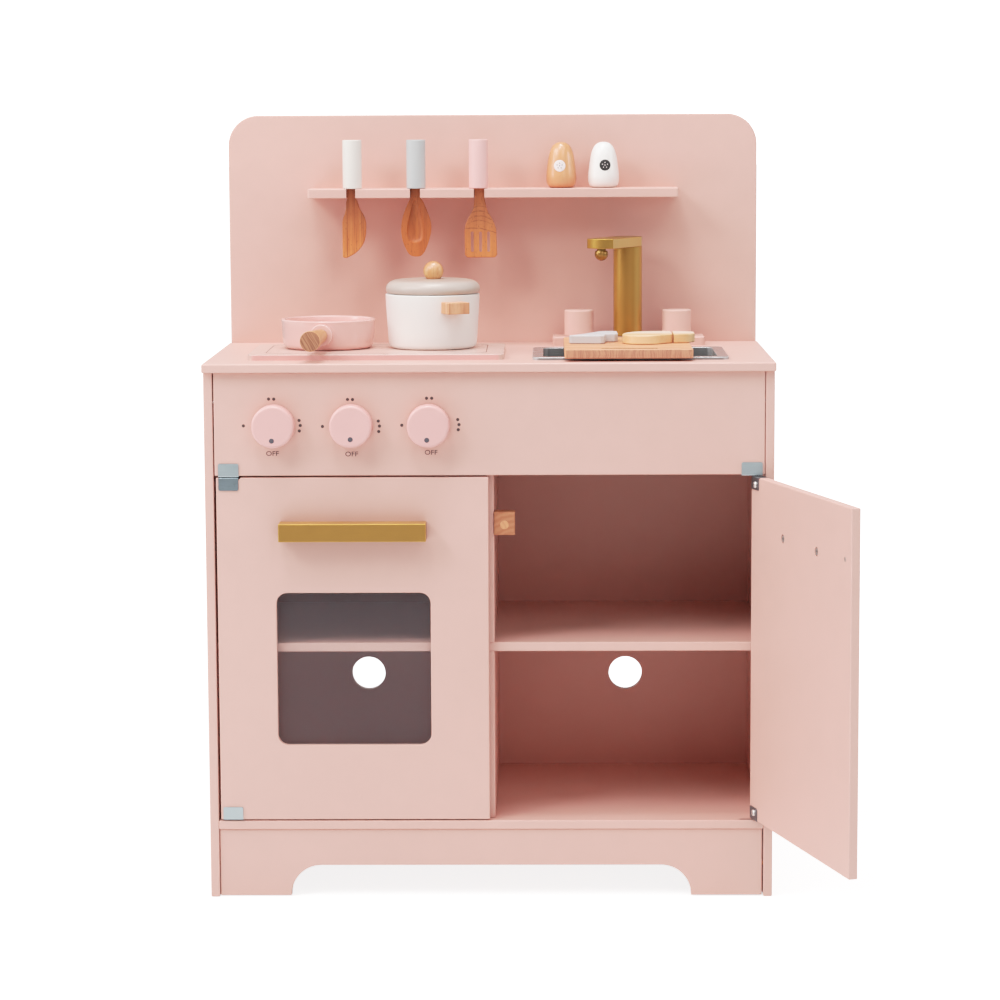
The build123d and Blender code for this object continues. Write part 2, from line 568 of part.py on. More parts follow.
# ---- pot with lid ---------------------------------------------------------
Z0 = Z_HOB + GAP
PT = POT_H - GAP        # height of the pot itself
out_side = [(POT_R0 - 5.0, 0.0), (POT_R0 - 2.2, 0.7), (POT_R0 - 0.5, 2.6), (POT_R0 + 0.4, 5.6),
            (POT_R0 + 1.7, 21.0), (POT_R - 0.4, 46.0), (POT_R, PT - 1.0)]
in_side = [(POT_R - 5.0, PT - 1.0), (POT_R - 5.5, 44.0), (POT_R0 - 3.6, 22.0), (POT_R0 - 5.4, 10.0),
           (POT_R0 - 8.4, 5.8), (POT_R0 - 13.0, 4.6)]
pot = rounded([[(0.0, 0.0), out_side[0]], out_side,
               [out_side[-1], (POT_R - 0.8, PT)], [(POT_R - 0.8, PT), (POT_R - 4.2, PT)],
               [(POT_R - 4.2, PT), in_side[0]], in_side, [in_side[-1], (0.0, 4.6)],
               [(0.0, 4.6), (0.0, 0.0)]], POT_X, POT_Y, Z0)
keep("pot_body", pot)
grips = []
for base in (26.0, 206.0):
    w, reach = 11.8, POT_R + 16.5
    blk = box(-w, w + 2.1, -reach, -(POT_R - 5.0), 616.3, 628.6)
    blk = fillet(blk.edges().filter_by(Axis.Z).group_by(Axis.Y)[0], 2.2)
    blk = soft(blk, 0.8, blk.edges().group_by(Axis.Z)[0] + blk.edges().group_by(Axis.Z)[-1])
    inner = rounded([[(0.0, 0.0), out_side[0]], out_side, [out_side[-1], (0.0, PT - 1.0)],
                     [(0.0, PT - 1.0), (0.0, 0.0)]], 0, 0, Z0)
    grips.append(Pos(POT_X, POT_Y, 0) * Rot(0, 0, base) * (blk - inner))
keep("pot_handles", *grips)

ZL = Z_HOB + POT_H + GAP
LR, LH = 51.0, 15.3
lid_side = [(LR - 3.4, 0.0), (LR - 1.2, 1.0), (LR, 4.2), (LR - 0.6, 7.8), (LR - 2.6, 10.7),
            (LR - 5.8, 13.0), (LR - 10.0, 14.4), (LR - 16.0, 15.1), (LR - 24.0, LH)]
lid = rounded([[(0.0, 0.0), lid_side[0]], lid_side, [lid_side[-1], (0.0, LH)],
               [(0.0, LH), (0.0, 0.0)]], LID_X, POT_Y, ZL)
lid = lid + cyl(LID_X, POT_Y, ZL - 4.5, ZL + 0.5, POT_R - 7.2)
keep("pot_lid", lid)
kr = 10.9
kn = Pos(LID_X + 0.6, POT_Y, ZL + LH + kr - 2.6) * Sphere(kr)
kn = kn - box(LID_X - 30, LID_X + 30, POT_Y - 30, POT_Y + 30, ZL, ZL + LH)
keep("lid_knob", kn)

# ---- pan --------------------------------------------------------------------
PH = PAN_H - GAP
pan_out = [(PAN_R0 - 6.0, 0.0), (PAN_R0 - 2.8, 0.7), (PAN_R0 - 0.8, 2.7), (PAN_R0 + 0.3, 6.0),
           (PAN_R - 0.9, 16.0), (PAN_R, PH - 1.0)]
pan_in = [(PAN_R - 4.0, PH - 1.0), (PAN_R - 4.6, 18.0), (PAN_R0 - 4.4, 9.0), (PAN_R0 - 7.6, 5.4),
          (PAN_R0 - 12.0, 4.4)]
pan = rounded([[(0.0, 0.0), pan_out[0]], pan_out, [pan_out[-1], (PAN_R - 0.8, PH)],
               [(PAN_R - 0.8, PH), (PAN_R - 3.2, PH)], [(PAN_R - 3.2, PH), pan_in[0]], pan_in,
               [pan_in[-1], (0.0, 4.4)], [(0.0, 4.4), (0.0, 0.0)]], 0, 0, 0)
pa_z = 16.9
boss = cyl_y(0, pa_z, -(PAN_R + 7.0), -(PAN_R - 3.0), 11.9)
boss = soft(boss, 1.2, [e for e in boss.edges().filter_by(GeomType.CIRCLE)
                        if e.center().Y < -PAN_R - 5])
inside = turned([(0, 5.0), (PAN_R0 - 7.8, 5.6), (PAN_R0 - 4.6, 9.0), (PAN_R - 4.7, 18.0),
                 (PAN_R - 4.1, PAN_H + 5), (0, PAN_H + 5)], 0, 0, 0)
pan = pan + (boss - inside)
pan = pan - cyl_y(0, pa_z, -(PAN_R + 10.0), -(PAN_R + 1.5), STICK_R0)
# the dowel tapers towards its root, which sits in the boss
stick = turned([(0, PAN_R + 1.5), (STICK_R0, PAN_R + 1.5), (STICK_R0, PAN_R + 7.0),
                (STICK_R, STICK_L), (0, STICK_L)], 0, 0, 0)
stick = Pos(0, 0, pa_z) * Rot(90, 0, 0) * stick
stick = soft(stick, 0.7, [e for e in stick.edges().filter_by(GeomType.CIRCLE)
                          if e.center().Y < -STICK_L + 1])
pan_at = Pos(PAN_X, PAN_Y, Z_HOB + GAP) * Rot(0, 0, -PAN_DEG)
keep("pan_body", pan_at * pan)
keep("pan_handle", pan_at * stick)

# ---- hanging utensils ---------------------------------------------------------
UH_R, UH_Z0, UH_Z1 = 10.6, SHELF_Z1 + GAP, 799.4
NECK_T = 2.6            # half thickness of a neck
names = ("knife", "spoon", "spatula")
TANG = UH_Z0 + 18
Z_NECK = 735.0          # the necks widen from here down
for n, ux, cx, cw in zip(names, UT_X, NECK_X, NECK_W):
    hh = cyl(ux, UT_Y, UH_Z0, UH_Z1, UH_R)
    hh = soft(hh, 0.8)
    hh = hh - box(cx - cw / 2, cx + cw / 2, UT_Y - NECK_T, UT_Y + NECK_T, UH_Z0 - 5, TANG)
    keep(n + "_handle", hh)


def at(ux, pts):
    return [(ux + p, q) for p, q in pts]


def blade_rim(b):
    return [e for e in b.edges() if abs(e.tangent_at(0.5).Y) < 0.5
            and e.center().Z < Z_NECK - 0.5]


# knife: straight back on the left, curved edge on the right, slanting tip
ux, nl, nr = UT_X[0], NECK_X[0] - NECK_W[0] / 2, NECK_X[0] + NECK_W[0] / 2
left = [(nl, Z_NECK)] + at(ux + 0.6, [(-7.6, 730.0), (-7.9, 724.5), (-8.9, 719.6), (-10.6, 714.8),
                                      (-11.8, 710.5), (-12.1, 706.0)])
tip = at(ux + 0.6, [(-12.0, 671.5), (-11.2, 669.1), (-9.0, 668.6), (-6.0, 669.2), (-3.0, 670.7),
                    (1.1, 673.1), (5.5, 676.8), (9.3, 681.2), (12.0, 686.1), (13.7, 692.3),
                    (14.5, 699.7), (14.5, 705.9), (13.7, 711.2), (12.3, 715.2), (10.3, 718.8),
                    (8.2, 722.2), (6.7, 725.7), (5.7, 729.4), (4.6, 732.4)]) + [(nr, Z_NECK)]
blade = flowing([[(nl, TANG), (nl, Z_NECK)], left, [left[-1], tip[0]], tip,
                 [(nr, Z_NECK), (nr, TANG)], [(nr, TANG), (nl, TANG)]],
                UT_Y - NECK_T, UT_Y + NECK_T)
keep("knife_blade", soft(blade, 1.0, blade_rim(blade)))

# spoon: long oval with a domed back and a drop-shaped hollow
ux, nl, nr = UT_X[1], NECK_X[1] - NECK_W[1] / 2, NECK_X[1] + NECK_W[1] / 2
rim = [(nl, Z_NECK + 1)] + at(ux + 0.3, [
    (-8.4, 731.4), (-11.0, 726.0), (-13.5, 719.7), (-15.8, 712.1), (-17.0, 704.2),
    (-17.1, 696.8), (-16.1, 689.6), (-13.9, 682.6), (-11.1, 676.6), (-8.2, 672.4), (-4.7, 670.4),
    (-0.1, 669.9), (4.0, 670.5), (7.4, 673.3), (10.3, 678.4), (12.9, 684.9), (15.1, 692.5),
    (16.4, 700.4), (16.1, 707.6), (14.3, 714.1), (11.6, 721.0), (9.2, 727.3), (6.6, 732.4)]) + [
    (nr, Z_NECK + 1)]
Y_SPOON = UT_Y - 3.4
body = flowing([rim, [(nr, Z_NECK + 1), (nl, Z_NECK + 1)]], Y_SPOON, Y_SPOON + 9.0)
dome = Pos(ux, Y_SPOON, 702.5) * scale(Sphere(1.0), by=(19.5, 8.6, 37.0))
drop = rounded([[(0.0, 0.0), (4.6, 0.7), (7.9, 3.2), (9.6, 7.9), (10.0, 13.4), (9.3, 20.4),
                 (7.6, 28.4), (5.4, 36.4), (3.0, 43.4), (0.0, 48.6)],
                [(0.0, 48.6), (0.0, 0.0)]], 0, 0, 0)
drop = Pos(ux - 1.0, Y_SPOON, 685.2) * scale(drop, by=(0.94, 0.44, 1.0))
spoon = (body & dome) - drop
spoon = spoon + box(nl, nr, UT_Y - NECK_T, UT_Y + NECK_T, 727.0, TANG)
keep("spoon_bowl", spoon)

# spatula: shoulders and three slots
ux, nl, nr = UT_X[2], NECK_X[2] - NECK_W[2] / 2, NECK_X[2] + NECK_W[2] / 2
left = [(nl, Z_NECK)] + at(ux + 0.6, [(-5.5, 731.0), (-5.8, 727.0), (-6.9, 722.1), (-9.1, 718.0),
                                      (-11.9, 713.1), (-14.5, 707.6), (-16.0, 702.0),
                                      (-16.4, 696.0)])
right = at(ux + 0.6, [(19.2, 694.0), (18.8, 700.5), (16.7, 707.2), (13.6, 713.0), (10.7, 717.9),
                      (8.9, 722.0), (7.6, 727.0), (6.5, 731.4)]) + [(nr, Z_NECK)]
foot = at(ux + 0.6, [(-16.0, 671.4), (-13.4, 668.5), (17.4, 668.5), (20.0, 671.4)])
spat = flowing([[(nl, TANG), (nl, Z_NECK)], left, [left[-1], foot[0]], [foot[0], foot[1]],
                [foot[1], foot[2]], [foot[2], foot[3]], [foot[3], right[0]], right,
                [(nr, Z_NECK), (nr, TANG)], [(nr, TANG), (nl, TANG)]],
               UT_Y - 2.4, UT_Y + 2.4)
spat = soft(spat, 1.0, blade_rim(spat))
for sx in (-7.8, 1.5, 10.4):
    slot = box(ux + 0.6 + sx - 1.6, ux + 0.6 + sx + 1.6, UT_Y - 9, UT_Y + 9, 674.8, 697.5)
    slot = fillet(slot.edges().filter_by(Axis.Y), 1.5)
    spat = spat - slot
keep("spatula_blade", spat)

# ---- egg-shaped shakers --------------------------------------------------------
egg = [(11.6, 0.0), (13.9, 0.9), (15.7, 3.0), (16.8, 7.0), (17.1, 11.0), (16.8, 16.0),
       (15.8, 24.5), (14.9, 31.0), (13.6, 37.6), (11.9, 42.6), (9.3, 46.8), (6.4, 49.2),
       (3.2, 50.4), (0.0, 50.7)]


def egg_shape(x, y, z, k):
    side_line = [(r * k, h) for r, h in egg]
    return rounded([[(0.0, 0.0), side_line[0]], side_line, [side_line[-1], (0.0, 0.0)]],
                   x, y, z)


SHK_Y = YB - 30.0
keep("salt_shaker", egg_shape(77.6, SHK_Y, SHELF_Z1 + GAP, 0.985))
keep("pepper_shaker", egg_shape(124.8, SHK_Y, SHELF_Z1 + GAP, 1.015))

# ---- chopping board over the sink, with play food -------------------------------
Z_CB = Z_RIM + GAP
cb = box(CB_X0, CB_X1, CB_Y0, CB_Y1, Z_CB, Z_CB + CB_T)
cb = fillet(cb.edges().filter_by(Axis.Z), 3.5)
cb = soft(cb, 0.9, cb.edges().group_by(Axis.Z)[-1] + cb.edges().group_by(Axis.Z)[0])
gr = box(117.5, 178.5, -284.0, -277.0, Z_CB + CB_T - 1.8, Z_CB + CB_T + 5)
gr = fillet(gr.edges().filter_by(Axis.Z), 3.2)
keep("cutting_board", cb - gr)
ZF = Z_CB + CB_T + GAP

slice_pts = [(84.8, -212.0), (86.8, -216.0), (118.6, -218.4), (121.8, -216.2), (123.0, -212.4),
             (123.8, -192.0), (134.0, -190.6), (137.6, -186.6), (137.4, -152.4), (134.0, -147.4),
             (124.4, -146.6), (117.8, -150.8), (110.6, -167.0), (101.4, -187.0)]
tk = plate(slice_pts, ZF, ZF + 8.8)
tk = soft(tk, 1.0)
keep("toy_food_slice", tk)

body_rim = [(195.4, -207.6), (190.0, -213.6), (184.0, -220.0), (178.0, -226.4), (171.0, -230.0),
            (160.0, -230.4), (150.6, -226.6), (144.4, -218.0), (142.0, -206.0), (144.6, -190.0),
            (152.0, -175.0), (164.0, -165.4), (179.0, -161.0), (195.4, -163.6)]
fb1 = flowing_plate([body_rim, [body_rim[-1], body_rim[0]]], ZF, ZF + 9.6)
fb1 = soft(fb1, 1.2)
tail_front = [(196.9, -210.4), (204.0, -208.8), (211.0, -206.0), (217.0, -202.6)]
tail_back = [(217.4, -170.0), (211.0, -166.4), (204.0, -164.2), (196.9, -163.0)]
fb2 = flowing_plate([tail_front, [tail_front[-1], (219.8, -198.0)], [(219.8, -198.0),
                    (220.0, -174.0)], [(220.0, -174.0), tail_back[0]], tail_back,
                    [tail_back[-1], tail_front[0]]], ZF, ZF + 9.6)
fb2 = soft(fb2, 1.0)
keep("toy_fish", fb1, fb2)

# ---- write every node -------------------------------------------------------------
for name, solids in NODES.items():
    flat = []
    for s in solids:
        flat += [Pos(DX, DY, 0) * t for t in s.solids()]
    shape = flat[0] if len(flat) == 1 else Compound(children=flat)
    shape.label = name
    export_step(shape, "parts/%s.step" % name)
print(len(NODES), "nodes written")
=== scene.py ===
import math

import bmesh
import bpy
from mathutils import Matrix, Vector
from mathutils.bvhtree import BVHTree


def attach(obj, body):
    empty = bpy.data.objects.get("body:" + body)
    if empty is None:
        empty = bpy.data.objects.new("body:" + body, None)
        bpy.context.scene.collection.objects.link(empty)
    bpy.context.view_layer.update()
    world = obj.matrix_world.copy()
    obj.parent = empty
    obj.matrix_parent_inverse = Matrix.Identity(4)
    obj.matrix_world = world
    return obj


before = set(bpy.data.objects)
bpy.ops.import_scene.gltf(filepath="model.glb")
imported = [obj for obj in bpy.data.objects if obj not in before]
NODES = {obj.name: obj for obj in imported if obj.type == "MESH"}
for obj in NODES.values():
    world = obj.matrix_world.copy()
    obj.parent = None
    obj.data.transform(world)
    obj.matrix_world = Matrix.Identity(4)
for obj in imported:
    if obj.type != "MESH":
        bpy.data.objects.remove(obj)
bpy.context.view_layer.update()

MM = 0.001
SCENE = bpy.context.scene
# where the middle of the cabinet's rear edge stands on the floor
SET = Vector((-0.03416, 0.28380, 0.0))


# ---------------------------------------------------------------- camera
# focal length in pixels of a 1000 pixel wide frame, eye point in metres,
# yaw, pitch and roll in radians
F_PX = 3149.062
EYE = SET + Vector((0.061692, -3.580214, 0.838513))
YAW, PITCH, ROLL = -0.015357, 0.1251, -0.004773

fw = Vector((math.sin(YAW) * math.cos(PITCH), math.cos(YAW) * math.cos(PITCH), -math.sin(PITCH)))
rt = Vector((math.cos(YAW), -math.sin(YAW), 0.0))
up = rt.cross(fw)
rt2 = math.cos(ROLL) * rt + math.sin(ROLL) * up
up2 = -math.sin(ROLL) * rt + math.cos(ROLL) * up
cam_data = bpy.data.cameras.new("Camera")
cam_data.sensor_fit = "HORIZONTAL"
cam_data.sensor_width = 36.0
cam_data.lens = F_PX * 36.0 / 1000.0
cam_data.clip_start = 0.05
cam_data.clip_end = 60.0
cam = bpy.data.objects.new("Camera", cam_data)
cam.matrix_world = Matrix((
    (rt2.x, up2.x, -fw.x, EYE.x),
    (rt2.y, up2.y, -fw.y, EYE.y),
    (rt2.z, up2.z, -fw.z, EYE.z),
    (0, 0, 0, 1)))
SCENE.collection.objects.link(cam)
SCENE.camera = cam


# ---------------------------------------------------------------- colour
def lin(r, g, b):
    def one(v):
        v /= 255.0
        return v / 12.92 if v <= 0.04045 else ((v + 0.055) / 1.055) ** 2.4
    return (one(r), one(g), one(b), 1.0)


def shade(c, k):
    return (min(1.0, c[0] * k), min(1.0, c[1] * k), min(1.0, c[2] * k), 1.0)


# ---------------------------------------------------------------- shader graph
class Graph:
    def __init__(self, name):
        self.mat = bpy.data.materials.new(name)
        self.mat.use_nodes = True
        self.nt = self.mat.node_tree
        self.nt.nodes.clear()
        self.out = self.nt.nodes.new("ShaderNodeOutputMaterial")
        self.p = self.nt.nodes.new("ShaderNodeBsdfPrincipled")
        self.nt.links.new(self.p.outputs[0], self.out.inputs[0])
        tc = self.nt.nodes.new("ShaderNodeTexCoord")
        self.obj = tc.outputs["Object"]
        self.nrm = tc.outputs["Normal"]

    def add(self, kind, **props):
        n = self.nt.nodes.new(kind)
        for k, v in props.items():
            setattr(n, k, v)
        return n

    def put(self, socket, value):
        if hasattr(value, "is_output"):
            self.nt.links.new(value, socket)
        else:
            socket.default_value = value

    def mapping(self, vec, loc=(0, 0, 0), rot=(0, 0, 0), scale=(1, 1, 1)):
        n = self.add("ShaderNodeMapping")
        self.put(n.inputs["Vector"], vec)
        n.inputs["Location"].default_value = loc
        n.inputs["Rotation"].default_value = rot
        n.inputs["Scale"].default_value = scale
        return n.outputs[0]

    def noise(self, vec, scale, detail=2.0, rough=0.5, dist=0.0):
        n = self.add("ShaderNodeTexNoise")
        self.put(n.inputs["Vector"], vec)
        n.inputs["Scale"].default_value = scale
        n.inputs["Detail"].default_value = detail
        n.inputs["Roughness"].default_value = rough
        n.inputs["Distortion"].default_value = dist
        return n.outputs["Fac"]

    def voronoi(self, vec, scale, feature="F1", rand=1.0):
        n = self.add("ShaderNodeTexVoronoi", feature=feature)
        self.put(n.inputs["Vector"], vec)
        n.inputs["Scale"].default_value = scale
        n.inputs["Randomness"].default_value = rand
        return n.outputs["Distance"]

    def wave(self, vec, scale, dist=0.0, detail=2.0, dscale=1.0, kind="BANDS", direction="X", profile="SIN"):
        n = self.add("ShaderNodeTexWave", wave_type=kind, wave_profile=profile)
        if kind == "BANDS":
            n.bands_direction = direction
        else:
            n.rings_direction = direction
        self.put(n.inputs["Vector"], vec)
        n.inputs["Scale"].default_value = scale
        n.inputs["Distortion"].default_value = dist
        n.inputs["Detail"].default_value = detail
        n.inputs["Detail Scale"].default_value = dscale
        return n.outputs["Fac"]

    def math(self, op, a, b=0.0, clamp=False):
        n = self.add("ShaderNodeMath", operation=op, use_clamp=clamp)
        self.put(n.inputs[0], a)
        self.put(n.inputs[1], b)
        return n.outputs[0]

    def span(self, fac, a0, a1, b0=0.0, b1=1.0):
        n = self.add("ShaderNodeMapRange", clamp=True)
        self.put(n.inputs["Value"], fac)
        n.inputs["From Min"].default_value = a0
        n.inputs["From Max"].default_value = a1
        n.inputs["To Min"].default_value = b0
        n.inputs["To Max"].default_value = b1
        return n.outputs[0]

    def ramp(self, fac, stops, interp="LINEAR"):
        n = self.add("ShaderNodeValToRGB")
        r = n.color_ramp
        r.interpolation = interp
        while len(r.elements) > 1:
            r.elements.remove(r.elements[-1])
        r.elements[0].position = stops[0][0]
        r.elements[0].color = stops[0][1]
        for pos, col in stops[1:]:
            e = r.elements.new(pos)
            e.color = col
        self.put(n.inputs[0], fac)
        return n.outputs[0]

    def mix(self, fac, a, b, mode="MIX"):
        n = self.add("ShaderNodeMix", data_type="RGBA", blend_type=mode)
        self.put(n.inputs[0], fac)
        self.put(n.inputs[6], a)
        self.put(n.inputs[7], b)
        return n.outputs[2]

    def bump(self, height, strength, distance, normal=None):
        n = self.add("ShaderNodeBump")
        n.inputs["Strength"].default_value = strength
        n.inputs["Distance"].default_value = distance
        self.put(n.inputs["Height"], height)
        if normal is not None:
            self.put(n.inputs["Normal"], normal)
        return n.outputs[0]

    def edges(self, turn=0.0, lo=0.03, hi=0.24):
        # where a board's rounded edge turns from one flat face to the next
        v = self.nrm
        if turn:
            rotn = self.add("ShaderNodeVectorRotate", rotation_type="Z_AXIS")
            self.put(rotn.inputs["Vector"], v)
            rotn.inputs["Angle"].default_value = turn
            v = rotn.outputs[0]
        ab = self.add("ShaderNodeVectorMath", operation="ABSOLUTE")
        self.put(ab.inputs[0], v)
        sp = self.add("ShaderNodeSeparateXYZ")
        self.put(sp.inputs[0], ab.outputs[0])
        m = self.math("MAXIMUM", sp.outputs[0], sp.outputs[1])
        m = self.math("MAXIMUM", m, sp.outputs[2])
        return self.span(self.math("SUBTRACT", 1.0, m), lo, hi)

    def comb(self, x, y, z):
        n = self.add("ShaderNodeCombineXYZ")
        for sk, v in zip(n.inputs, (x, y, z)):
            self.put(sk, v)
        return n.outputs[0]

    def axis(self, vec, i):
        sp = self.add("ShaderNodeSeparateXYZ")
        self.put(sp.inputs[0], vec)
        return sp.outputs[i]

    def within(self, value, lo, hi, soft):
        # one between lo and hi, falling to nothing over the soft width outside
        up_ = self.span(value, lo - soft, lo)
        dn = self.span(value, hi, hi + soft, 1.0, 0.0)
        return self.math("MULTIPLY", up_, dn)

    def times(self, *vals):
        out = vals[0]
        for v in vals[1:]:
            out = self.math("MULTIPLY", out, v)
        return out

    def facing(self, direction, lo=0.55, hi=0.85):
        # where the surface faces a direction fixed in the object
        dp = self.add("ShaderNodeVectorMath", operation="DOT_PRODUCT")
        self.put(dp.inputs[0], self.nrm)
        dp.inputs[1].default_value = direction
        return self.span(dp.outputs["Value"], lo, hi)

    def done(self, color=None, rough=None, normal=None, **plain):
        if color is not None:
            self.put(self.p.inputs["Base Color"], color)
        if rough is not None:
            self.put(self.p.inputs["Roughness"], rough)
        if normal is not None:
            self.put(self.p.inputs["Normal"], normal)
        for k, v in plain.items():
            self.p.inputs[k.replace("_", " ")].default_value = v
        return self.mat


def paint(name, rgb, rough=0.42, var=0.05, peel=0.10, turn=None, coat=0.0, warm=0.0, worn_and_sheen=0.35, grain=0.0, top=None):
    # sprayed paint on fine board: a faint cloudiness, orange peel, rubbed edges with a painted highlight along them
    g = Graph(name)
    c = lin(*rgb)
    big = g.noise(g.obj, 5.5, 3.0, 0.55)
    mid = g.noise(g.obj, 48.0, 3.0, 0.6)
    fine = g.noise(g.obj, 620.0, 2.0, 0.55)
    cloud = g.math("ADD", g.math("MULTIPLY", big, 0.65), g.math("MULTIPLY", mid, 0.35))
    lo, hi = shade(c, 1.0 - var), shade(c, 1.0 + var)
    if warm:
        lo = (lo[0], lo[1] * (1 - warm), lo[2] * (1 - warm), 1.0)
    col = g.ramp(cloud, [(0.30, lo), (0.70, hi)])
    # faces turned toward the given direction take another tint: painted shade (the back panel's inner face, the hob's
    # front, the lid's top)
    if top is not None:
        col = g.mix(g.facing(top[0], 0.85, 0.98), col, lin(*top[1]))
    # rare dust specks in the paint
    speck = g.span(g.noise(g.obj, 210.0, 1.0, 0.4), 0.80, 0.86)
    col = g.mix(g.math("MULTIPLY", speck, 0.10), col, shade(c, 0.72))
    rmap = g.span(g.math("ADD", g.math("MULTIPLY", mid, 0.6), g.math("MULTIPLY", fine, 0.4)), 0.3, 0.7, rough - 0.05, rough + 0.06)
    if turn is not None:
        # the rounded edges are painted paler: partly rubbed wear, partly a painted highlight along the edge
        e = g.edges(turn)
        rub = g.span(g.noise(g.obj, 130.0, 4.0, 0.7), 0.42, 0.72)
        wear_and_sheen = g.math("MULTIPLY", e, g.math("MULTIPLY", rub, worn_and_sheen))
        col = g.mix(wear_and_sheen, col, shade((c[0] * 1.16, c[1] * 1.20, c[2] * 1.20, 1), 1.0))
        rmap = g.math("ADD", rmap, g.math("MULTIPLY", e, -0.06))
    height = g.math("ADD", g.math("MULTIPLY", fine, 0.7), g.math("MULTIPLY", g.noise(g.obj, 190.0, 2.0, 0.5), 0.6))
    if grain:
        gr = g.noise(g.mapping(g.obj, scale=(30, 30, 900)), 1.0, 3.0, 0.6)
        height = g.math("ADD", height, g.math("MULTIPLY", gr, grain))
    nrm = g.bump(height, peel, 0.0006)
    return g.done(col, rmap, nrm, Coat_Weight=coat, Coat_Roughness=0.12)


AXES = {"X": (0, 0, 0), "Y": (0, 0, math.radians(-90)), "Z": (0, math.radians(90), 0)}


def wood(name, light, dark, axis="X", rot=None, rings=26.0, along=9.0, line=0.55, fleck=0.35, rough=0.48,
         shift=(0, 0, 0), bump=0.35, coat=0.0, flecksize=1.0, lines_rgb=None, contrast=1.0, figure=None):
    # grain runs along the local X of the turned coordinates
    g = Graph(name)
    base = g.mapping(g.obj, loc=shift, rot=AXES[axis] if rot is None else rot)
    l, d = lin(*light), lin(*dark)
    dk = lin(*lines_rgb) if lines_rgb else shade(d, 0.72)
    # broad figure: growth rings cut lengthwise, bent a little by a slow noise
    bend = g.noise(g.mapping(base, scale=(2.2, 14, 14)), 1.0, 2.0, 0.5)
    st = g.mapping(base, scale=(along, 150.0, 150.0))
    tone = g.noise(st, 1.0, 4.0, 0.62, 0.3)
    ring = g.wave(g.mapping(base, scale=(0.55, 1.0, 1.0)), rings, 3.4, 3.0, 2.2, "BANDS", "Y")
    mixv = g.math("ADD", g.math("MULTIPLY", tone, 0.62), g.math("MULTIPLY", ring, 0.22))
    mixv = g.math("ADD", mixv, g.math("MULTIPLY", bend, 0.30))
    half = 0.20 / max(0.05, contrast)
    col = g.ramp(mixv, [(0.57 - half, d), (0.57, shade(tuple((l[i] + d[i]) / 2 for i in range(3)) + (1,), 1.0)), (0.57 + half, l)])
    # thin dark late-wood lines
    ln = g.noise(g.mapping(base, scale=(along * 0.7, 620.0, 620.0)), 1.0, 3.0, 0.6)
    lmask = g.math("MULTIPLY", g.span(ln, 0.56, 0.70), line)
    col = g.mix(lmask, col, dk)
    # short ray flecks
    fl = g.noise(g.mapping(base, scale=(260.0 * flecksize, 1900.0 * flecksize, 1500.0 * flecksize)), 1.0, 1.0, 0.5)
    fmask = g.math("MULTIPLY", g.span(fl, 0.66, 0.76), fleck)
    col = g.mix(fmask, col, dk)
    if figure is not None:
        col = figure(g, col, dk)
    rmap = g.span(tone, 0.3, 0.7, rough + 0.06, rough - 0.05)
    h = g.math("ADD", g.math("MULTIPLY", ln, -0.7), g.math("MULTIPLY", fl, -0.5))
    h = g.math("ADD", h, g.math("MULTIPLY", tone, 0.5))
    nrm = g.bump(h, bump, 0.00025)
    return g.done(col, rmap, nrm, Coat_Weight=coat, Coat_Roughness=0.2)


def endgrain(name, light, dark, centre, axis="Y", rings=420.0, rough=0.55, spread=1.0, rays=0.35):
    # growth rings seen on a sawn end, about a centre outside the piece
    g = Graph(name)
    v = g.mapping(g.obj, loc=(-centre[0], -centre[1], -centre[2]))
    l, d = lin(*light), lin(*dark)
    warp = g.noise(g.mapping(g.obj, scale=(40, 40, 40)), 1.0, 3.0, 0.55)
    w = g.wave(v, rings / 10.0, 2.2 * spread, 3.0, 3.0, "RINGS", axis)
    fine = g.noise(g.obj, 900.0, 3.0, 0.7)
    m = g.math("ADD", g.math("MULTIPLY", w, 0.55), g.math("MULTIPLY", fine, 0.45))
    m = g.math("ADD", m, g.math("MULTIPLY", warp, 0.25))
    col = g.ramp(m, [(0.35, d), (0.85, l)])
    pore = g.span(g.noise(g.obj, 1700.0, 1.0, 0.5), 0.66, 0.78)
    col = g.mix(g.math("MULTIPLY", pore, rays), col, shade(d, 0.65))
    nrm = g.bump(fine, 0.35, 0.0003)
    return g.done(col, g.span(fine, 0.3, 0.7, rough - 0.04, rough + 0.08), nrm)


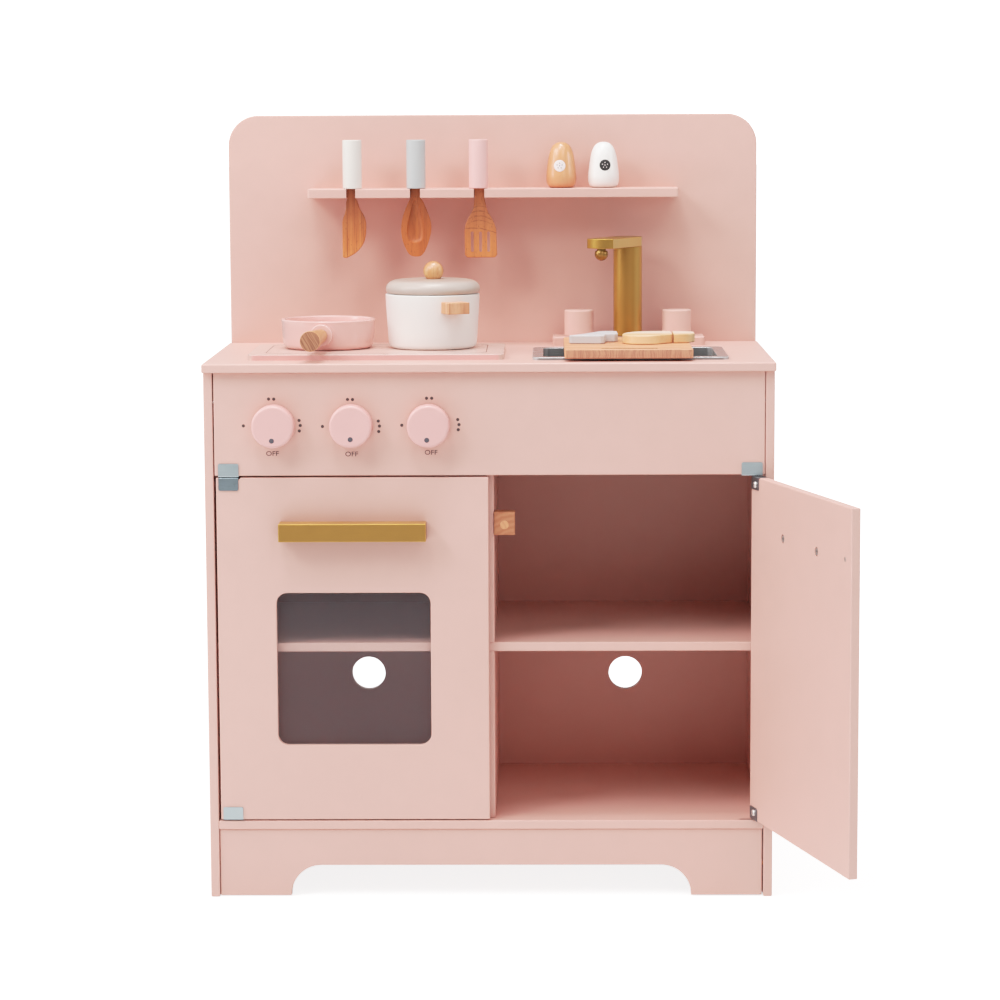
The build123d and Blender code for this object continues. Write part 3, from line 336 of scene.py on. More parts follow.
def metal(name, rgb, rough=0.3, metallic=1.0, streak="X", var=0.06, bump=0.08, spots=0.0, flake=0.0, coat=0.0,
          edge=0.0, turn=0.0, low=None, lit=None, rvar=1.0):
    g = Graph(name)
    c = lin(*rgb)
    sc = {"X": (40, 900, 900), "Y": (900, 40, 900), "Z": (900, 900, 40)}[streak]
    br = g.noise(g.mapping(g.obj, scale=sc), 1.0, 3.0, 0.6)
    cl = g.noise(g.obj, 70.0, 4.0, 0.6)
    m = g.math("ADD", g.math("MULTIPLY", br, 0.5), g.math("MULTIPLY", cl, 0.5))
    col = g.ramp(m, [(0.3, shade(c, 1 - var)), (0.7, shade(c, 1 + var))])
    if spots:
        sp = g.span(g.noise(g.obj, 260.0, 2.0, 0.5), 0.62, 0.75)
        col = g.mix(g.math("MULTIPLY", sp, spots), col, shade(c, 0.55))
    if flake:
        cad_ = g.noise(g.obj, 2600.0, 1.0, 0.5)
        col = g.mix(g.math("MULTIPLY", g.span(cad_, 0.55, 0.75), flake), col, shade(c, 1.5))
    if low is not None:
        # lower down the same sheet takes another tint: a painted reflection of the surroundings there
        col = g.mix(g.span(g.axis(g.obj, 2), low[0], low[0] + 0.01, 1.0, 0.0), col, lin(*low[1]))
    if lit is not None:
        # some sides are painted paler than the rest: painted highlights and reflections of the lamps
        for way, tint in lit:
            col = g.mix(g.facing(way, 0.80, 0.97), col, lin(*tint))
    # rounded edges are painted brighter: a painted highlight
    if edge:
        e = g.edges(turn, 0.02, 0.12)
        e = g.math("MULTIPLY", e, g.span(cl, 0.25, 0.5, 0.7, 1.0))
        col = g.mix(g.math("MULTIPLY", e, edge), col, shade(c, 2.2))
    rm = g.span(m, 0.3, 0.7, rough - 0.05 * rvar, rough + 0.07 * rvar)
    nrm = g.bump(g.math("ADD", br, g.math("MULTIPLY", cl, 0.5)), bump, 0.0002)
    return g.done(col, rm, nrm, Metallic=metallic, Coat_Weight=coat, Coat_Roughness=0.15)


# ---------------------------------------------------------------- materials
PINK = (219, 172, 161)
OPEN_TURN = math.radians(-106.0)

m_board = paint("pink_board_paint", PINK, 0.46, 0.035, 0.10, turn=0.0)
m_door_open = paint("pink_open_door_paint", PINK, 0.46, 0.035, 0.10, turn=OPEN_TURN)
# the back panel's inner face is tinted a deeper red: painted shade of the compartments
m_back = paint("pink_back_panel_paint", PINK, 0.46, 0.035, 0.10, turn=0.0, top=((0, -1, 0), (215, 158, 146)))
# the hob plate's front face is tinted deeper pink: painted shade
m_hob = paint("pink_hob_gloss", (215, 181, 171), 0.30, 0.03, 0.05, turn=0.0, coat=0.15, top=((0, -1, 0), (226, 170, 165)))
m_knob = paint("pink_knob_satin", (227, 171, 167), 0.36, 0.03, 0.06)
m_tapk = paint("pink_tap_satin", (232, 186, 175), 0.40, 0.03, 0.06)
m_pan = paint("pink_pan_gloss", (233, 183, 176), 0.20, 0.012, 0.015, coat=0.5)
m_white = paint("white_pot_satin", (238, 235, 232), 0.34, 0.02, 0.05, coat=0.15)
# the lid's upward faces are tinted darker: painted shade
m_lid = paint("warm_grey_lid_satin", (188, 172, 163), 0.36, 0.03, 0.05, coat=0.1, top=((0, 0, 1), (181, 159, 148)))
m_hw = paint("white_grip_matte", (226, 222, 216), 0.55, 0.02, 0.10)
m_hg = paint("blue_grey_grip_matte", (183, 187, 188), 0.55, 0.02, 0.10)
m_hp = paint("pale_pink_grip_matte", (233, 183, 180), 0.55, 0.02, 0.10)
def beech_marks(kind):
    # single knots, arcs and dark lines that stand out on one piece
    def figure(g, col, dk):
        x = g.math("SUBTRACT", g.axis(g.obj, 0), SET.x)
        z = g.axis(g.obj, 2)
        # painted shade: the head darkens toward the neck, under the shelf, more than at the tip
        zlo, zhi, shade_deep = {"knife": (0.682, 0.718, (0.58, 0.52, 0.56, 1)),
                          "spoon": (0.676, 0.716, (0.64, 0.60, 0.56, 1)),
                          "spatula": (0.682, 0.712, (0.68, 0.66, 0.74, 1))}[kind]
        fall = g.math("ADD", z, g.math("MULTIPLY", g.noise(g.mapping(g.obj, scale=(50, 50, 30)), 1.0, 2.0, 0.5), 0.008))
        fall = g.span(fall, zlo + 0.004, zhi + 0.004)
        col = g.mix(1.0, col, g.ramp(fall, [(0.0, (1, 1, 1, 1)), (1.0, shade_deep)]), "MULTIPLY")
        wob = g.noise(g.mapping(g.obj, scale=(60, 60, 60)), 1.0, 3.0, 0.6)
        if kind == "spatula":
            # arcs round the shoulders and one long line above the slots
            dx = g.math("SUBTRACT", x, -0.0135)
            arc = g.math("ADD", z, g.math("MULTIPLY", g.math("MULTIPLY", dx, dx), 26.0))
            arc = g.math("ADD", arc, g.math("MULTIPLY", wob, 0.004))
            wv = g.wave(g.mapping(g.comb(0.0, 0.0, arc), scale=(1, 1, 1)), 62.0, 0.0, 0.0, 1.0, "BANDS", "Z")
            zone = g.within(z, 0.7085, 0.7235, 0.004)
            brk = g.span(g.noise(g.mapping(g.obj, scale=(160, 160, 420)), 1.0, 2.0, 0.6), 0.36, 0.56)
            col = g.mix(g.times(g.span(wv, 0.70, 0.97), zone, brk, 0.62), col, dk)
            lnz = g.math("ADD", z, g.math("MULTIPLY", wob, 0.003))
            lnz = g.math("ADD", lnz, g.math("MULTIPLY", g.span(x, -0.012, 0.012), 0.0075))
            line_ = g.within(lnz, 0.70235, 0.70275, 0.0004)
            col = g.mix(g.times(line_, g.span(g.noise(g.obj, 300.0, 2.0, 0.5), 0.25, 0.45), 0.75), col, dk)
        if kind == "knife":
            ln = g.noise(g.mapping(g.obj, scale=(900, 300, 16)), 1.0, 3.0, 0.6)
            col = g.mix(g.math("MULTIPLY", g.span(ln, 0.57, 0.66), 0.50), col, dk)
        # flecks, short and dark
        fl = g.noise(g.mapping(g.obj, scale=(700, 300, 240), loc=(0.3, 0.1, 0.7)), 1.0, 1.0, 0.4)
        return g.mix(g.math("MULTIPLY", g.span(fl, 0.70, 0.76), 0.55), col, dk)
    return figure


def board_marks(g, col, dk):
    # the front is the sawn edge, with fine upright ribs; the juice groove is darkened with painted shade
    x = g.math("SUBTRACT", g.axis(g.obj, 0), SET.x)
    y = g.math("SUBTRACT", g.axis(g.obj, 1), SET.y)
    z = g.axis(g.obj, 2)
    front = g.facing((0, -1, 0), 0.75, 0.95)
    bend = g.noise(g.mapping(g.obj, scale=(34, 30, 120)), 1.0, 2.0, 0.5)
    cx = g.comb(g.math("ADD", x, g.math("MULTIPLY", bend, 0.006)), y, z)
    rib = g.noise(g.mapping(cx, scale=(1150, 60, 42)), 1.0, 2.0, 0.55)
    patch = g.span(g.noise(g.mapping(g.obj, scale=(55, 40, 60)), 1.0, 2.0, 0.5), 0.20, 0.50, 0.45, 1.0)
    col = g.mix(g.math("MULTIPLY", front, 0.60), col, lin(190, 136, 112))
    col = g.mix(g.times(front, g.span(rib, 0.46, 0.60), patch, 0.62), col, lin(158, 100, 80))
    # painted shade inside the juice groove
    gx = g.within(x, 0.1170, 0.1790, 0.0006)
    gy = g.within(y, -0.2846, -0.2764, 0.0004)
    shade_deep = g.span(z, 0.5819, 0.5831, 1.0, 0.0)
    top_ = g.span(z, 0.5795, 0.5805)
    col = g.mix(g.times(gx, gy, shade_deep, top_, 0.80), col, lin(120, 62, 44))
    return col


def stick_marks(g, col, dk):
    # the sawn end of the dowel: slanting dark growth lines
    x = g.math("SUBTRACT", g.axis(g.obj, 0), SET.x)
    z = g.axis(g.obj, 2)
    end = g.facing((-0.0715, -0.9974, 0), 0.93, 0.985)
    bend = g.noise(g.mapping(g.obj, scale=(90, 90, 90)), 1.0, 2.0, 0.5)
    d = g.math("ADD", g.math("MULTIPLY", x, 0.86), g.math("MULTIPLY", z, 0.50))
    d = g.math("ADD", d, g.math("MULTIPLY", bend, 0.0016))
    ln = g.noise(g.mapping(g.comb(d, 0.0, g.math("MULTIPLY", z, 0.12)), scale=(950, 1, 260)), 1.0, 2.0, 0.6)
    col = g.mix(g.math("MULTIPLY", end, 0.90), col, lin(170, 117, 88))
    col = g.mix(g.times(end, g.span(ln, 0.44, 0.60), 0.80), col, lin(112, 64, 44))
    # painted shade in the gap where the dowel enters the pan's boss, on the sides facing right and up
    y = g.math("SUBTRACT", g.axis(g.obj, 1), SET.y)
    s_ = g.math("ADD", g.math("MULTIPLY", g.math("ADD", x, 0.1763), -0.0715),
                g.math("MULTIPLY", g.math("ADD", y, 0.1665), -0.9974))
    gap_shade = g.within(s_, 0.0575, 0.0587, 0.0003)
    return g.mix(g.times(gap_shade, g.facing((0.95, 0.0, 0.30), 0.25, 0.60), 0.85), col, lin(84, 50, 38))


def knob_marks(g, col, dk):
    # the crown of the ball, where it faces up, is darker than the rest
    return g.mix(g.facing((0, -0.3, 0.95), -0.2, 0.75), col, g.mix(1.0, col, (0.82, 0.72, 0.84, 1), "MULTIPLY"))


def fish_marks(g, col, dk):
    # a paler patch on the top, toward the rear: a painted highlight of the light from above
    y = g.math("SUBTRACT", g.axis(g.obj, 1), SET.y)
    n = g.noise(g.mapping(g.obj, scale=(40, 60, 60)), 1.0, 2.0, 0.5)
    y = g.math("ADD", y, g.math("MULTIPLY", n, 0.02))
    up_ = g.facing((0, 0, 1), 0.7, 0.95)
    return g.mix(g.times(up_, g.span(y, -0.196, -0.180), 0.7), col, lin(240, 226, 212))


# the gold is one lacquer split into lit and shaded copies part by part; the lit tints are painted highlights and
# painted reflections
m_gold = metal("gold_lacquer", (152, 113, 50), 0.36, 0.45, "X", 0.05, 0.03, flake=0.12, edge=0.7,
               lit=(((0, 0, 1), (192, 142, 75)),))
m_gold_r = metal("gold_lacquer_arm", (155, 118, 54), 0.30, 0.58, "X", 0.02, 0.0, edge=0.4, rvar=0.10,
                 lit=(((0.891, -0.454, 0), (196, 184, 130)),))
m_gold_n = metal("gold_lacquer_nozzle", (146, 105, 49), 0.27, 0.60, "X", 0.02, 0.0, rvar=0.10)
m_gold_v = metal("gold_lacquer_column", (170, 126, 60), 0.31, 0.58, "Z", 0.02, 0.0, rvar=0.08,
                 lit=(((0.85, -0.53, 0), (187, 148, 78)), ((-0.75, -0.66, 0), (186, 141, 68))))
# the low tints of the zinc and clips are a painted reflection of the paint around the lower hardware; their brighter
# edges are a painted highlight
m_zinc = metal("zinc_plate", (155, 167, 171), 0.34, 0.50, "X", 0.07, 0.10, spots=0.15, edge=0.9,
               low=(0.25, (214, 172, 162)))
m_clip = metal("zinc_clip_plate", (117, 129, 135), 0.40, 0.80, "X", 0.12, 0.16, spots=0.30, edge=0.9,
               low=(0.25, (171, 184, 188)))
m_clip_r = metal("zinc_clip_turned", (118, 118, 122), 0.40, 0.80, "X", 0.12, 0.16, spots=0.30, edge=0.6,
                 turn=OPEN_TURN)
m_steel = metal("screw_steel", (150, 152, 152), 0.36, 0.95, "Z", 0.10, 0.10, spots=0.3, edge=0.5)
m_screw_r = metal("screw_steel_turned", (186, 176, 172), 0.30, 0.50, "Z", 0.10, 0.10, spots=0.2, edge=0.6,
                  turn=OPEN_TURN)
# the sink's faces turned to the left, its right inner wall, are painted paler, and its edges brighter: painted
# highlights
m_sink = metal("sink_grey_enamel", (134, 134, 135), 0.24, 0.30, "X", 0.02, 0.015, coat=0.25, edge=0.75,
               lit=(((-1, 0, 0), (212, 208, 206)),))
m_knife = wood("beech_red_knife", (238, 154, 88), (196, 106, 56), "Z", rings=17, along=7.0, line=0.60, fleck=0.55,
               lines_rgb=(104, 50, 26), figure=beech_marks("knife"))
m_beech = wood("beech_red_spoon", (228, 134, 72), (190, 98, 49), "Z", rings=15, along=7.0, line=0.45, fleck=0.45,
               shift=(0.1, 0.3, 0.4), lines_rgb=(110, 52, 26), figure=beech_marks("spoon"))
m_spat = wood("beech_red_spatula", (221, 134, 77), (187, 101, 55), "Z", rings=15, along=8.0, line=0.35, fleck=0.6,
              shift=(0.3, 0.1, 0.2), lines_rgb=(98, 46, 24), figure=beech_marks("spatula"))
m_board_w = wood("beech_board", (228, 170, 132), (206, 138, 104), "X", rings=14, along=6.0, line=0.35, fleck=0.25,
                 lines_rgb=(160, 98, 70), figure=board_marks)
m_salt = wood("pale_wood_shaker", (220, 155, 113), (203, 132, 87), "Z", rings=9, along=8.0, line=0.15, fleck=0.10,
              coat=0.4, rough=0.30, lines_rgb=(176, 108, 64))
m_fish = wood("pale_wood_fish", (240, 206, 164), (230, 182, 132), "X", rings=9, along=8.0, line=0.12, fleck=0.10,
              coat=0.1, rough=0.4, lines_rgb=(200, 150, 100), figure=fish_marks)
m_lknob = wood("pine_knob", (241, 187, 134), (218, 147, 89), "Z", rings=30, along=7.0, line=0.50, fleck=0.15,
               coat=0.2, rough=0.36, lines_rgb=(176, 108, 60), contrast=1.3, figure=knob_marks)
m_stick = wood("dowel_wood", (214, 154, 114), (196, 128, 88), "Y", rings=16, along=7.0, line=0.35, fleck=0.3,
               lines_rgb=(140, 84, 54), figure=stick_marks)
m_grip = wood("beech_pot_grip", (230, 176, 140), (206, 142, 106), "Z", rings=26, along=22.0, line=0.6, fleck=0.3,
              lines_rgb=(166, 104, 72))
m_block = endgrain("catch_block_endgrain", (184, 120, 84), (170, 104, 70), (SET.x + 0.03, 0, 0.36), "Y", rings=520)
m_plug = endgrain("catch_plug_endgrain", (216, 150, 108), (206, 138, 98), (SET.x, 0, 0.39), "Y", rings=700)
m_dowel = endgrain("dowel_endgrain", (214, 172, 132), (182, 130, 90), (0, 0, 0), "X")
m_slice = paint("play_food_grey", (200, 198, 200), 0.5, 0.03, 0.12)
m_retainer = paint("retainer_grey", (120, 104, 104), 0.5, 0.05, 0.1)


def acrylic():
    g = Graph("clear_acrylic")
    c = lin(156, 151, 158)
    v = g.noise(g.obj, 7.0, 2.0, 0.5)
    col = g.ramp(v, [(0.3, shade(c, 0.96)), (0.7, shade(c, 1.06))])
    nrm = g.bump(g.noise(g.obj, 9.0, 1.0, 0.4), 0.03, 0.001)
    g.p.inputs["Alpha"].default_value = 0.085
    g.p.inputs["IOR"].default_value = 1.49
    return g.done(col, g.span(g.noise(g.obj, 12.0, 2.0, 0.5), 0.3, 0.7, 0.10, 0.14), nrm)


m_pane = acrylic()

FINISH = {
    m_board: ["left_side_panel", "right_side_panel", "bottom_board", "front_apron", "divider_panel",
              "middle_shelf", "fascia_panel", "countertop", "backboard", "utensil_shelf",
              "left_door_panel", "faucet_base"],
    m_door_open: ["right_door_panel"],
    m_back: ["back_panel"],
    m_hob: ["hob_plate"],
    m_knob: ["cooker_knob_1", "cooker_knob_2", "cooker_knob_3"],
    m_tapk: ["tap_left_knob", "tap_right_knob"],
    m_pan: ["pan_body"],
    m_white: ["pot_body", "pepper_shaker"],
    m_lid: ["pot_lid"],
    m_hw: ["knife_handle"],
    m_hg: ["spoon_handle"],
    m_hp: ["spatula_handle"],
    m_gold: ["left_door_handle", "right_door_handle"],
    m_gold_r: ["faucet_arm"],
    m_gold_v: ["faucet_column"],
    m_gold_n: ["faucet_nozzle"],
    m_zinc: ["hinge_brackets", "hinge_pins"],
    m_clip: ["left_door_clips"],
    m_clip_r: ["right_door_clips"],
    m_screw_r: ["right_door_screws"],
    m_steel: ["side_screws", "back_screws", "left_door_screws",
              "knob_spindle_1", "knob_spindle_2", "knob_spindle_3"],
    m_sink: ["sink_basin"],
    m_knife: ["knife_blade"],
    m_beech: ["spoon_bowl"],
    m_spat: ["spatula_blade"],
    m_board_w: ["cutting_board"],
    m_salt: ["salt_shaker"],
    m_fish: ["toy_fish"],
    m_lknob: ["lid_knob"],
    m_stick: ["pan_handle"],
    m_grip: ["pot_handles"],
    m_block: ["catch_blocks"],
    m_plug: ["catch_plugs"],
    m_dowel: ["panel_dowels"],
    m_slice: ["toy_food_slice"],
    m_retainer: ["window_retainer"],
    m_pane: ["window_pane"],
}
for mt, names in FINISH.items():
    for n in names:
        ob = NODES[n]
        if not ob.material_slots:
            ob.data.materials.append(mt)
        for s in ob.material_slots:
            s.link = "OBJECT"
            s.material = mt


# ---------------------------------------------------------------- printed marks
def at(x, y, z):
    return SET + Vector((x, y, z)) * MM


def link(name, bm, mats, body, smooth=True):
    bmesh.ops.recalc_face_normals(bm, faces=bm.faces)
    for f in bm.faces:
        f.smooth = smooth
    me = bpy.data.meshes.new(name)
    bm.to_mesh(me)
    bm.free()
    for m in mats:
        me.materials.append(m)
    ob = bpy.data.objects.new(name, me)
    SCENE.collection.objects.link(ob)
    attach(ob, body)
    return ob


def pad(bm, centre, u, v, n, r, t, sink=0.04, seg=40, mat=0):
    # a round pad of ink: rounded rim, closed below, sunk a little in the surface
    prof = [(0.0, t), (r * 0.55, t * 0.98), (r - 0.22, t * 0.82), (r - 0.06, t * 0.40), (r, -sink), (0.0, -sink)]
    rings = []
    for pr, ph in prof:
        if pr == 0.0:
            rings.append([bm.verts.new(centre + n * (ph * MM))])
            continue
        ring = []
        for i in range(seg):
            a_ = 2 * math.pi * i / seg
            ring.append(bm.verts.new(centre + (u * math.cos(a_) + v * math.sin(a_)) * (pr * MM) + n * (ph * MM)))
        rings.append(ring)
    for ra, rb in zip(rings, rings[1:]):
        for i in range(seg):
            j = (i + 1) % seg
            if len(ra) == 1:
                f = bm.faces.new((ra[0], rb[i], rb[j]))
            elif len(rb) == 1:
                f = bm.faces.new((ra[i], rb[0], ra[j]))
            else:
                f = bm.faces.new((ra[i], rb[i], rb[j], ra[j]))
            f.material_index = mat


def ink(name, rgb, rough=0.5, var=0.12):
    # screen-printed ink: faint mottling, pin holes, a slightly raised film
    g = Graph(name)
    c = lin(*rgb)
    n1 = g.noise(g.obj, 420.0, 3.0, 0.6)
    n2 = g.noise(g.obj, 2400.0, 2.0, 0.6)
    col = g.ramp(n1, [(0.3, shade(c, 1 - var)), (0.7, shade(c, 1 + var))])
    col = g.mix(g.math("MULTIPLY", g.span(n2, 0.68, 0.78), 0.35), col, shade(c, 1.7))
    return g.done(col, g.span(n1, 0.3, 0.7, rough - 0.06, rough + 0.06), g.bump(n2, 0.2, 0.0002))


m_mark = ink("mark_ink", (72, 56, 56))
m_dot = ink("pointer_ink", (78, 74, 82))
m_hobline = ink("hob_line_ink", (104, 66, 62))
m_disc_w = ink("disc_white", (232, 222, 222), 0.4, 0.03)
m_disc_k = ink("disc_black", (30, 26, 26), 0.42, 0.10)

LEFT, UPW, FRONT = Vector((1, 0, 0)), Vector((0, 0, 1)), Vector((0, -1, 0))
YF_MM, YKNOB = -301.5, -322.5
DIALS = (
    ("knob_1", (-226.15, 491.23), (-227.0, 476.0),
     ((-257.2, 505.2), (-230.4, 533.3), (-225.0, 533.2), (-198.7, 510.7), (-197.5, 505.4), (-198.6, 499.7))),
    ("knob_2", (-144.05, 492.52), (-143.9, 475.2),
     ((-174.3, 504.3), (-147.7, 532.6), (-142.5, 532.5), (-115.7, 509.8), (-114.5, 504.5), (-115.4, 498.8))),
    ("knob_3", (-64.35, 491.63), (-60.6, 476.7),
     ((-91.2, 505.3), (-65.0, 533.6), (-59.6, 533.6), (-32.5, 511.1), (-31.2, 505.8), (-32.0, 500.4))),
)


def lettering(word, name, x, z, width, height, body):
    cu = bpy.data.curves.new(name, "FONT")
    cu.body = word
    cu.size = 1.0
    cu.offset = 0.008
    cu.extrude = 0.02
    cu.resolution_u = 5
    tmp = bpy.data.objects.new(name + "_curve", cu)
    SCENE.collection.objects.link(tmp)
    me = bpy.data.meshes.new_from_object(tmp)
    bpy.data.objects.remove(tmp)
    bpy.data.curves.remove(cu)
    lo = [min(v.co[i] for v in me.vertices) for i in range(3)]
    hi = [max(v.co[i] for v in me.vertices) for i in range(3)]
    kx, kz = width / (hi[0] - lo[0]), height / (hi[1] - lo[1])
    bm = bmesh.new()
    bm.from_mesh(me)
    bpy.data.meshes.remove(me)
    bmesh.ops.remove_doubles(bm, verts=bm.verts, dist=1e-5)
    for v in bm.verts:
        px = x + (v.co.x - (lo[0] + hi[0]) / 2) * kx
        pz = z + (v.co.y - (lo[1] + hi[1]) / 2) * kz
        front = v.co.z > (lo[2] + hi[2]) / 2
        v.co = at(px, YF_MM + (-0.10 if front else 0.04), pz)
    return link(name, bm, [m_mark], body, smooth=False)


for i, (body, dot, word, marks) in enumerate(DIALS):
    bm = bmesh.new()
    for mx, mz in marks:
        pad(bm, at(mx, YF_MM, mz), LEFT, UPW, FRONT, 1.75, 0.10)
    link("dial_marks_%d" % (i + 1), bm, [m_mark], "cabinet")
    lettering("OFF", "dial_off_%d" % (i + 1), word[0], word[1], 13.4, 5.0, "cabinet")
    bm = bmesh.new()
    pad(bm, at(dot[0], YKNOB, dot[1]), LEFT, UPW, FRONT, 2.7, 0.12)
    link("knob_pointer_%d" % (i + 1), bm, [m_dot], body)


def hob_line():
    # a thin printed frame on the raised plate
    x0, x1, y0, y1, r, w, z = -239.0, -3.2, -246.0, -122.0, 15.0, 0.9, 576.5
    loops = []
    for off, dz in ((0.0, -0.03), (0.12, 0.07), (w - 0.12, 0.07), (w, -0.03)):
        ring = []
        for cx, cy, a0 in ((x1 - r, y1 - r, 0), (x0 + r, y1 - r, 90), (x0 + r, y0 + r, 180), (x1 - r, y0 + r, 270)):
            for k in range(13):
                a_ = math.radians(a0 + 90.0 * k / 12)
                ring.append((cx + (r - off) * math.cos(a_), cy + (r - off) * math.sin(a_), z + dz))
        loops.append(ring)
    bm = bmesh.new()
    vs_ = [[bm.verts.new(at(*p)) for p in ring] for ring in loops]
    n = len(vs_[0])
    for k in range(4):
        for i in range(n):
            j = (i + 1) % n
            bm.faces.new((vs_[k][i], vs_[k][j], vs_[(k + 1) % 4][j], vs_[(k + 1) % 4][i]))
    link("hob_line", bm, [m_hobline], "cabinet")


hob_line()


def egg_disc(name, node, cx, cy, px, pz, r, mats, body):
    # a thin round inlay that follows the shaker's side, with a ring of small dots
    ob = NODES[node]
    me = ob.data
    tree = BVHTree.FromPolygons([ob.matrix_world @ v.co for v in me.vertices], [p.vertices[:] for p in me.polygons])
    seg = 48
    axis = at(cx, cy, 0)

    def onto(dx, dz, lift):
        o = Vector((at(px + dx, 0, 0).x, at(0, -90, 0).y, (pz + dz) * MM))
        hit, nrm, _, _ = tree.ray_cast(o, Vector((0, 1, 0)))
        out = Vector((hit.x - axis.x, hit.y - axis.y, 0)).normalized()
        return hit + (nrm if nrm.dot(out) > 0 else -nrm) * (lift * MM)

    bm = bmesh.new()
    prof = [(r * k / 6.0, 0.22) for k in range(1, 6)] + [(r - 0.25, 0.20), (r, 0.06), (r, -0.15)]
    top = bm.verts.new(onto(0, 0, 0.22))
    prev = None
    rings = []
    for pr, lift in prof:
        ring = [bm.verts.new(onto(pr * math.cos(2 * math.pi * i / seg), pr * math.sin(2 * math.pi * i / seg), lift))
                for i in range(seg)]
        for i in range(seg):
            j = (i + 1) % seg
            bm.faces.new((top, ring[j], ring[i]) if prev is None else (prev[i], prev[j], ring[j], ring[i]))
        prev = ring
        rings.append(ring)
    low = bm.verts.new(onto(0, 0, -0.15))
    for i in range(seg):
        bm.faces.new((prev[i], prev[(i + 1) % seg], low))
    # small raised dots: one in the middle, five around it
    spots = [(0.0, 0.0)] + [(2.9 * math.sin(2 * math.pi * k / 5), 2.9 * math.cos(2 * math.pi * k / 5)) for k in range(5)]
    for sx, sz in spots:
        c0 = onto(sx, sz, 0.20)
        a_ = onto(sx + 0.6, sz, 0.20) - c0
        b_ = onto(sx, sz + 0.6, 0.20) - c0
        nn = a_.cross(b_).normalized()
        if nn.y > 0:
            nn = -nn
        u_ = a_.normalized()
        pad(bm, c0, u_, nn.cross(u_).normalized(), nn, 0.62, 0.16, 0.10, 16, 1)
    return link(name, bm, mats, body)


egg_disc("salt_disc", "salt_shaker", 77.6, -39.5, 75.7, 769.9, 6.4, [m_disc_w, m_mark], "salt")
egg_disc("pepper_disc", "pepper_shaker", 124.8, -39.5, 126.2, 770.5, 6.2, [m_disc_k, m_disc_w], "pepper")


# ---------------------------------------------------------------- stage and light
def floor():
    g = Graph("stage_floor")
    g.nt.nodes.remove(g.p)
    dif = g.add("ShaderNodeBsdfDiffuse")
    dif.inputs["Color"].default_value = (0.93, 0.925, 0.92, 1)
    em = g.add("ShaderNodeEmission")
    em.inputs["Color"].default_value = (1, 1, 1, 1)
    path = g.add("ShaderNodeLightPath")
    ln = g.add("ShaderNodeVectorMath", operation="LENGTH")
    g.put(ln.inputs[0], g.obj)
    far = g.span(ln.outputs["Value"], 0.6, 2.4, 1.15, 2.4)
    g.put(em.inputs["Strength"], g.math("MULTIPLY", path.outputs["Is Camera Ray"], far))
    ad = g.add("ShaderNodeAddShader")
    g.put(ad.inputs[0], dif.outputs[0])
    g.put(ad.inputs[1], em.outputs[0])
    g.put(g.out.inputs[0], ad.outputs[0])
    bm = bmesh.new()
    bmesh.ops.create_circle(bm, cap_ends=True, segments=96, radius=40.0)
    me = bpy.data.meshes.new("stage_floor")
    bm.to_mesh(me)
    bm.free()
    ob = bpy.data.objects.new("stage_floor", me)
    ob.location = (SET.x, SET.y, -0.0004)
    me.materials.append(g.mat)
    SCENE.collection.objects.link(ob)


floor()

world = bpy.data.worlds.new("World")
SCENE.world = world
world.use_nodes = True
wn = world.node_tree
wn.nodes.clear()
w_out = wn.nodes.new("ShaderNodeOutputWorld")
w_bg = wn.nodes.new("ShaderNodeBackground")
w_bg.inputs["Color"].default_value = (1.0, 1.0, 1.0, 1)
w_bg.inputs["Strength"].default_value = 0.245
w_white = wn.nodes.new("ShaderNodeBackground")
w_white.inputs["Color"].default_value = (1, 1, 1, 1)
w_white.inputs["Strength"].default_value = 5.0
w_room = wn.nodes.new("ShaderNodeBackground")
w_room.inputs["Color"].default_value = (1, 1, 1, 1)
w_room.inputs["Strength"].default_value = 0.60
w_path = wn.nodes.new("ShaderNodeLightPath")
w_soft = wn.nodes.new("ShaderNodeMixShader")
wn.links.new(w_path.outputs["Is Glossy Ray"], w_soft.inputs[0])
wn.links.new(w_bg.outputs[0], w_soft.inputs[1])
wn.links.new(w_room.outputs[0], w_soft.inputs[2])
w_mix = wn.nodes.new("ShaderNodeMixShader")
wn.links.new(w_path.outputs["Is Camera Ray"], w_mix.inputs[0])
wn.links.new(w_soft.outputs[0], w_mix.inputs[1])
wn.links.new(w_white.outputs[0], w_mix.inputs[2])
wn.links.new(w_mix.outputs[0], w_out.inputs[0])


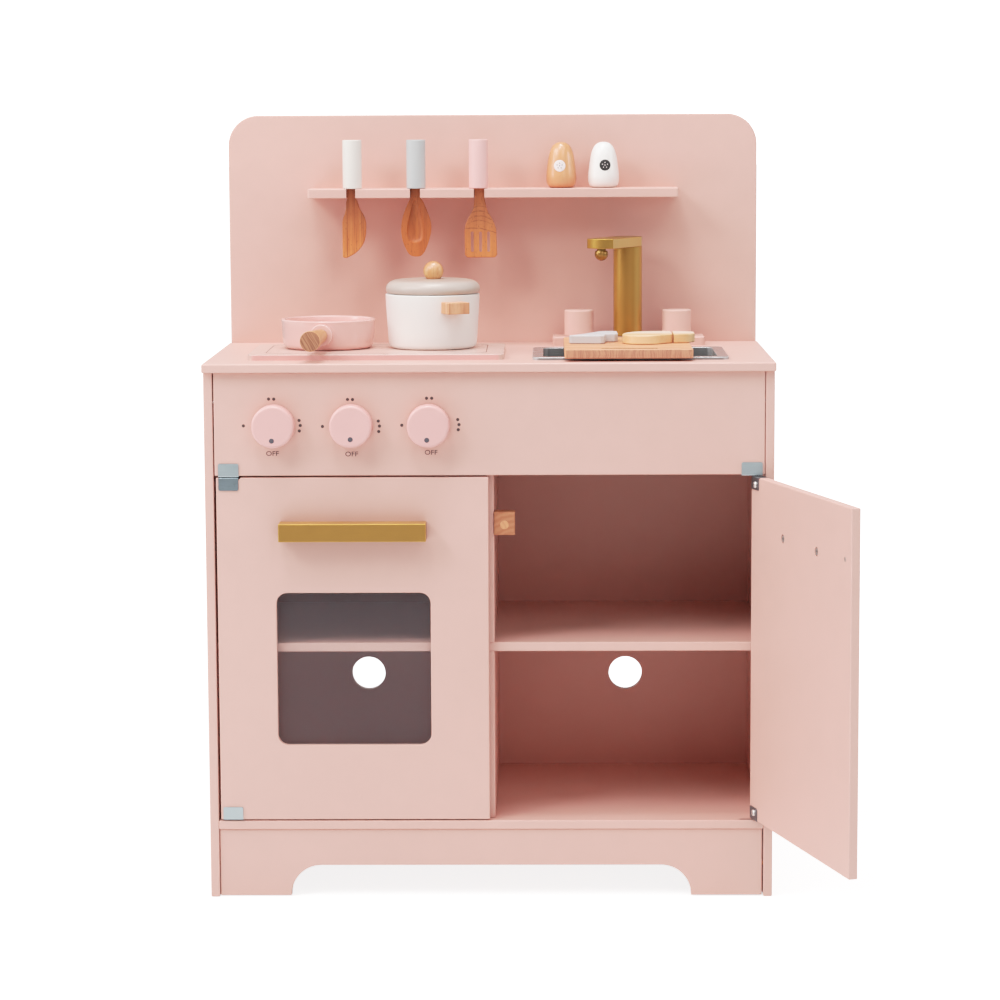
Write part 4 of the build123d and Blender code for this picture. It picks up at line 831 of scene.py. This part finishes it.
def area(name, loc, target, size, power, size_y=None, color=(1, 1, 1)):
    d = bpy.data.lights.new(name, "AREA")
    d.energy = power
    d.color = color
    d.shape = "RECTANGLE"
    d.size = size
    d.size_y = size_y or size
    ob = bpy.data.objects.new(name, d)
    ob.location = SET + Vector(loc)
    ob.rotation_euler = (Vector(target) - Vector(loc)).to_track_quat("-Z", "Y").to_euler()
    SCENE.collection.objects.link(ob)
    ob.visible_camera = False
    return ob


# square softboxes on a dome about the object: degrees to the right of straight
# ahead as the camera sees it, degrees up, watts
MID = (0.0, -0.2, 0.45)


def softbox(name, right, above, power, size=1.1, dist=3.6):
    a_, e_ = math.radians(right), math.radians(above)
    v = Vector((math.sin(a_) * math.cos(e_), -math.cos(a_) * math.cos(e_), math.sin(e_))) * dist
    return area(name, tuple(Vector(MID) + v), MID, size, power)


softbox("top_softbox", 0, 88, 72.0)
softbox("key_high_softbox", -24, 62, 41.0)
softbox("key_softbox", -48, 38, 41.0)
softbox("left_softbox", -75, 38, 25.0)
softbox("left_low_softbox", -75, 15, 24.0)
softbox("right_high_softbox", 52, 62, 13.0)
softbox("fill_softbox", 24, 38, 12.0)
softbox("fill_low_softbox", 24, 15, 5.0)
softbox("right_softbox", 76, 22, 23.0)

vs = SCENE.view_settings
vs.view_transform = "Standard"
vs.look = "None"
vs.exposure = 0.0
vs.gamma = 1.0
# a camera-like shoulder, so that lit paint is paler than shaded paint
vs.use_curve_mapping = True
cm = vs.curve_mapping
cm.white_level = (2.0, 2.0, 2.0)
cv = cm.curves[3]
cv.points[0].location = (0.0, 0.0)
cv.points[1].location = (1.0, 1.0)
for px, py in ((0.1, 0.228), (0.2, 0.447), (0.25, 0.53), (0.425, 0.73), (0.65, 0.90)):
    cv.points.new(px, py)
cm.update()

SCENE.cycles.max_bounces = 10
SCENE.cycles.diffuse_bounces = 6
SCENE.cycles.glossy_bounces = 3
SCENE.cycles.transmission_bounces = 6
SCENE.cycles.transparent_max_bounces = 12
SCENE.cycles.caustics_reflective = False
SCENE.cycles.caustics_refractive = False
SCENE.cycles.sample_clamp_indirect = 6.0
SCENE.cycles.use_denoising = True
